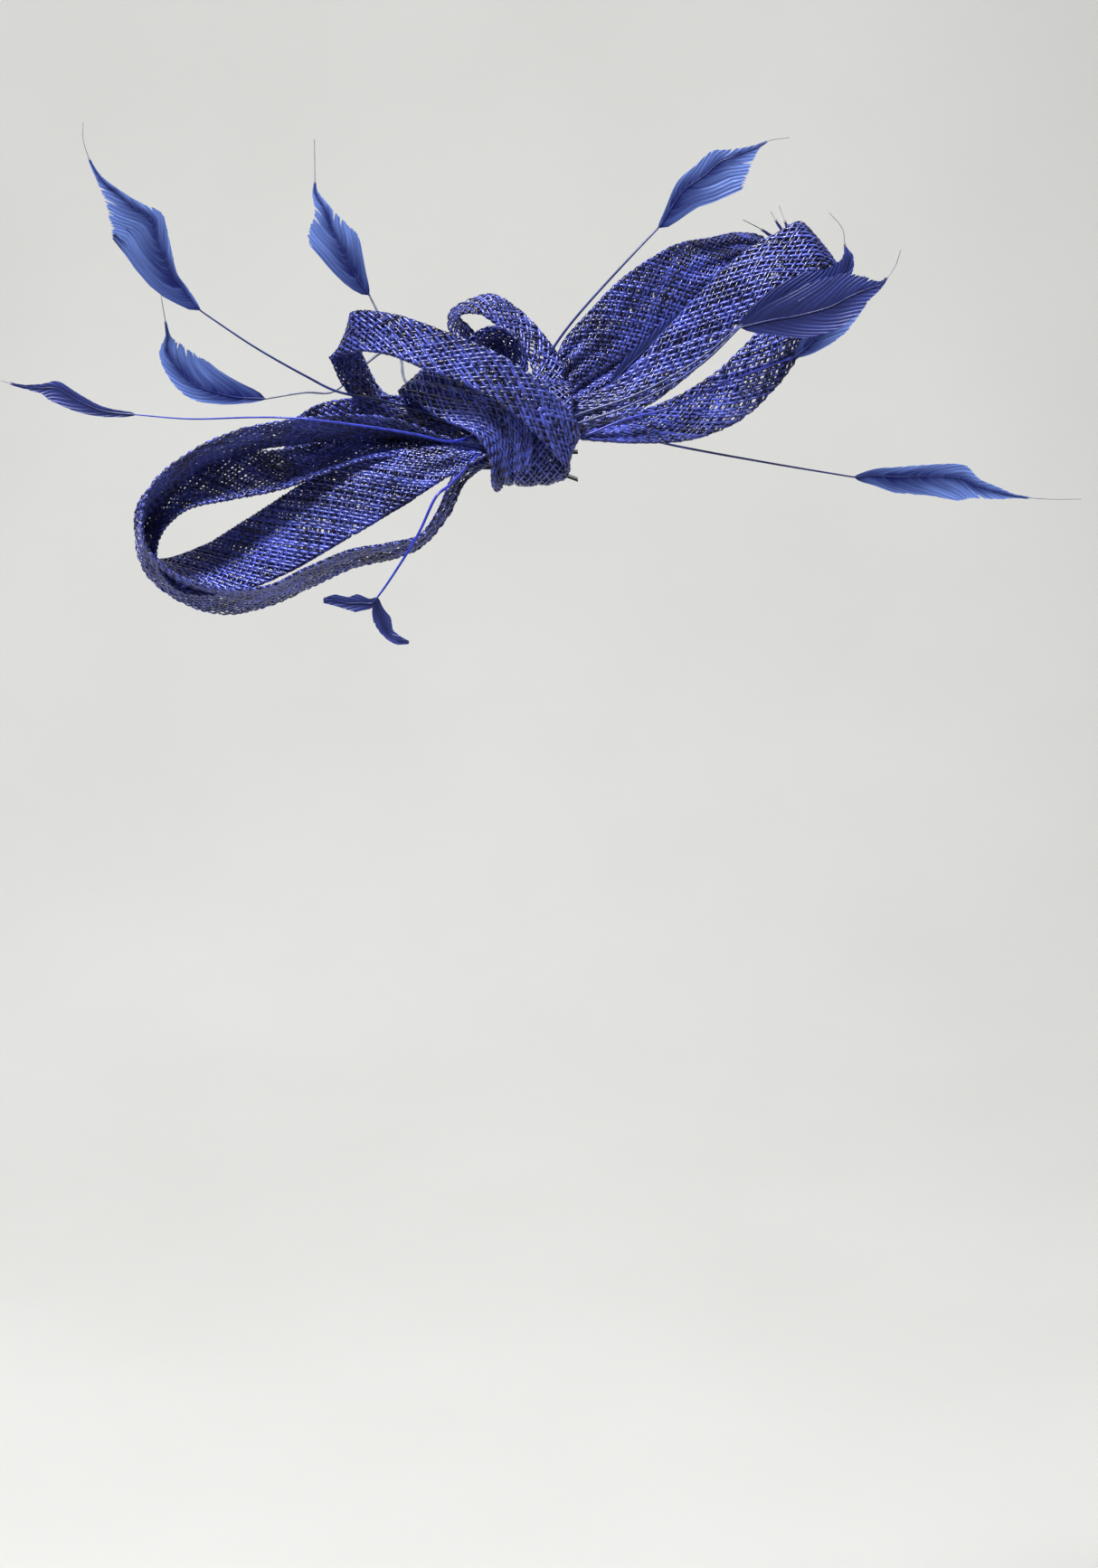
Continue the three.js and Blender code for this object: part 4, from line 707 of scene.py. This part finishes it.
# ---------- pad, stitches ----------
def felt_disc():
    """The pad: a felt disc with softened, slightly uneven edges."""
    rings = [(0.02, 0.0), (0.35, 0.0), (0.7, 0.0), (0.93, 0.0), (0.975, 0.12), (1.0, 0.4), (1.0, 0.7),
             (0.975, 0.93), (0.93, 1.0), (0.7, 1.0), (0.35, 1.0), (0.02, 1.0)]
    sides = 96
    a = np.arange(sides) * 2 * math.pi / sides
    uneven = 1 + 0.004 * np.sin(7 * a) + 0.003 * np.sin(17 * a + 1)
    verts = np.vstack([np.stack([
        PAD_RADIUS * r * uneven * np.cos(a), PAD_CENTRE_Y + PAD_RADIUS * r * uneven * np.sin(a),
        np.full(sides, PAD_Z + PAD_THICKNESS * h)], -1) for r, h in rings])
    faces = np.vstack([grid_quads(len(rings), sides), end_quads(len(rings), sides)])
    obj = make_object("felt_disc", verts, faces, [FELT])
    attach(obj, "headpiece")
    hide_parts("felt_pad")


def stitches():
    """Four stitches, each a two-ply thread that dips under the plate and comes up at both ends."""
    ply_radius, ply_offset = 0.19, 0.14
    ring = PLATE_RADIUS - STITCH_MARGIN
    for number, degrees in enumerate(STITCH_ANGLES, 1):
        angle, spread = math.radians(degrees), STITCH_SPAN / 2 / ring
        ends = [
            np.array([ring * math.cos(b), PAD_CENTRE_Y + ring * math.sin(b)])
            for b in (angle - spread, angle + spread)]
        low, high = PLATE_Z - 0.65, PLATE_Z + SHEET
        route = [(*ends[0], high), (*ends[0], (low + high) / 2), (*(ends[0] * 0.85 + ends[1] * 0.15), low),
                 (*(ends[0] + ends[1]) / 2, low - 0.05), (*(ends[0] * 0.15 + ends[1] * 0.85), low),
                 (*ends[1], (low + high) / 2), (*ends[1], high)]
        line = spline(route, np.linspace(0, 1, 60))
        along = unit(np.gradient(line, axis=0))
        one = unit(np.cross(along, [0.3, 0.2, 0.9]))
        two = np.cross(along, one)
        twist = np.linspace(0, 9 * math.pi, 60)[:, None]
        plies = [tube(line + ply_offset * (np.cos(twist + p) * one + np.sin(twist + p) * two), ply_radius, 6)
                 for p in (0, math.pi)]
        verts, faces = merge(plies)
        obj = make_object(f"stitch_{number}_thread", verts, faces, [SEWING], tone=np.full(len(verts), 0.6))
        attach(obj, "headpiece")
        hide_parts(f"stitch_{number}")


felt_disc()
stitches()


# ---------- clip spring ----------
def wire_spring():
    """Round wire: a leg on the lower lever, turns round the pin and a leg under the upper lever."""
    wire, spacing, turns = 0.3, 1.1, 3.5
    coil, leg = EAR_RADIUS - wire, LEVER_LENGTH - CLIP_HINGE_X - 4
    travelled = np.linspace(0, 2 * math.pi * turns * coil + 2 * leg, 260)
    wound = np.clip((travelled - leg) / coil, 0, 2 * math.pi * turns)
    before = np.maximum(leg - travelled, 0)
    after = np.maximum(travelled - leg - 2 * math.pi * turns * coil, 0)
    x = CLIP_HINGE_X + coil * np.sin(wound) + before + after
    y = (wound / (2 * math.pi) - turns / 2) * spacing
    slope = LEVER_DROP / (LEVER_LENGTH - CLIP_HINGE_X - 1)
    z = HINGE_Z + coil * np.cos(wound) - np.maximum(after - 1, 0) * slope
    verts, faces = tube(np.stack([x, y, z], -1), wire, 10)
    obj = make_object("clip_spring_wire", verts, faces, [BRIGHT_STEEL])
    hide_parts("clip_spring")
    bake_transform(obj)


wire_spring()

for node in ("clip_lower_jaw", "clip_upper_arm", "steel_plate", "brooch_bracket", "catch_housing"):
    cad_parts[node].data.materials.clear()
    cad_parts[node].data.materials.append(DARK_STEEL)
for node in ("clip_hinge_pin", "brooch_needle", "brooch_hinge_pin", "catch_sleeve"):
    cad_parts[node].data.materials.clear()
    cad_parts[node].data.materials.append(BRIGHT_STEEL)


# ---------- floor, light and camera ----------
def sweep():
    """A pale floor that curves up into a backdrop."""
    floor_z, bend = -620, 900
    profile = [(y, floor_z) for y in (-3000, -1500, 0, bend)]
    curve = np.linspace(0, math.pi / 2, 24)[1:]
    profile += [(bend * (1 + math.sin(b)), floor_z + bend * (1 - math.cos(b))) for b in curve]
    profile += [(2 * bend, 1200), (2 * bend, 2600)]
    columns = np.linspace(-3500, 3500, 15)
    verts = np.array([(x, y, z) for y, z in profile for x in columns])
    faces = grid_quads(len(profile), len(columns), closed=False)
    paper = noisy_material("backdrop_paper", (0.61, 0.61, 0.59), (0.65, 0.65, 0.63), 3, 0.9, bump=0.02)
    make_object("backdrop", verts, faces, [paper])


def area_light(name, place, target, size, watts):
    data = bpy.data.lights.new(name, "AREA")
    data.size, data.energy = size, watts
    lamp = bpy.data.objects.new(name, data)
    bpy.context.scene.collection.objects.link(lamp)
    lamp.location = place
    lamp.rotation_euler = (Vector(target) - Vector(place)).to_track_quat("-Z", "Y").to_euler()


sweep()
area_light("key", (-0.5, -0.5, 1.5), target=(0, 0, 0), size=0.3, watts=52)
area_light("fill", (1.3, -1.1, 0.6), target=(0, 0, 0), size=1.2, watts=1.5)
area_light("backdrop_light", (0, 0.7, 1.9), target=(0, 1.7, 0.2), size=1.6, watts=20)
world = bpy.data.worlds.new("studio")
world.use_nodes = True
world.node_tree.nodes["Background"].inputs["Color"].default_value = (0.93, 0.95, 1.0, 1)
world.node_tree.nodes["Background"].inputs["Strength"].default_value = 0.2
bpy.context.scene.world = world

lens = bpy.data.cameras.new("camera")
lens.lens, lens.sensor_width = 63, 36
lens.clip_start, lens.clip_end = 0.01, 20
camera = bpy.data.objects.new("camera", lens)
bpy.context.scene.collection.objects.link(camera)
camera.location = (0.0115, -1.0022, 0.0954)
camera.rotation_euler = (math.radians(90 - 12), 0, 0)
bpy.context.scene.camera = camera
bpy.context.scene.view_settings.view_transform = "Standard"
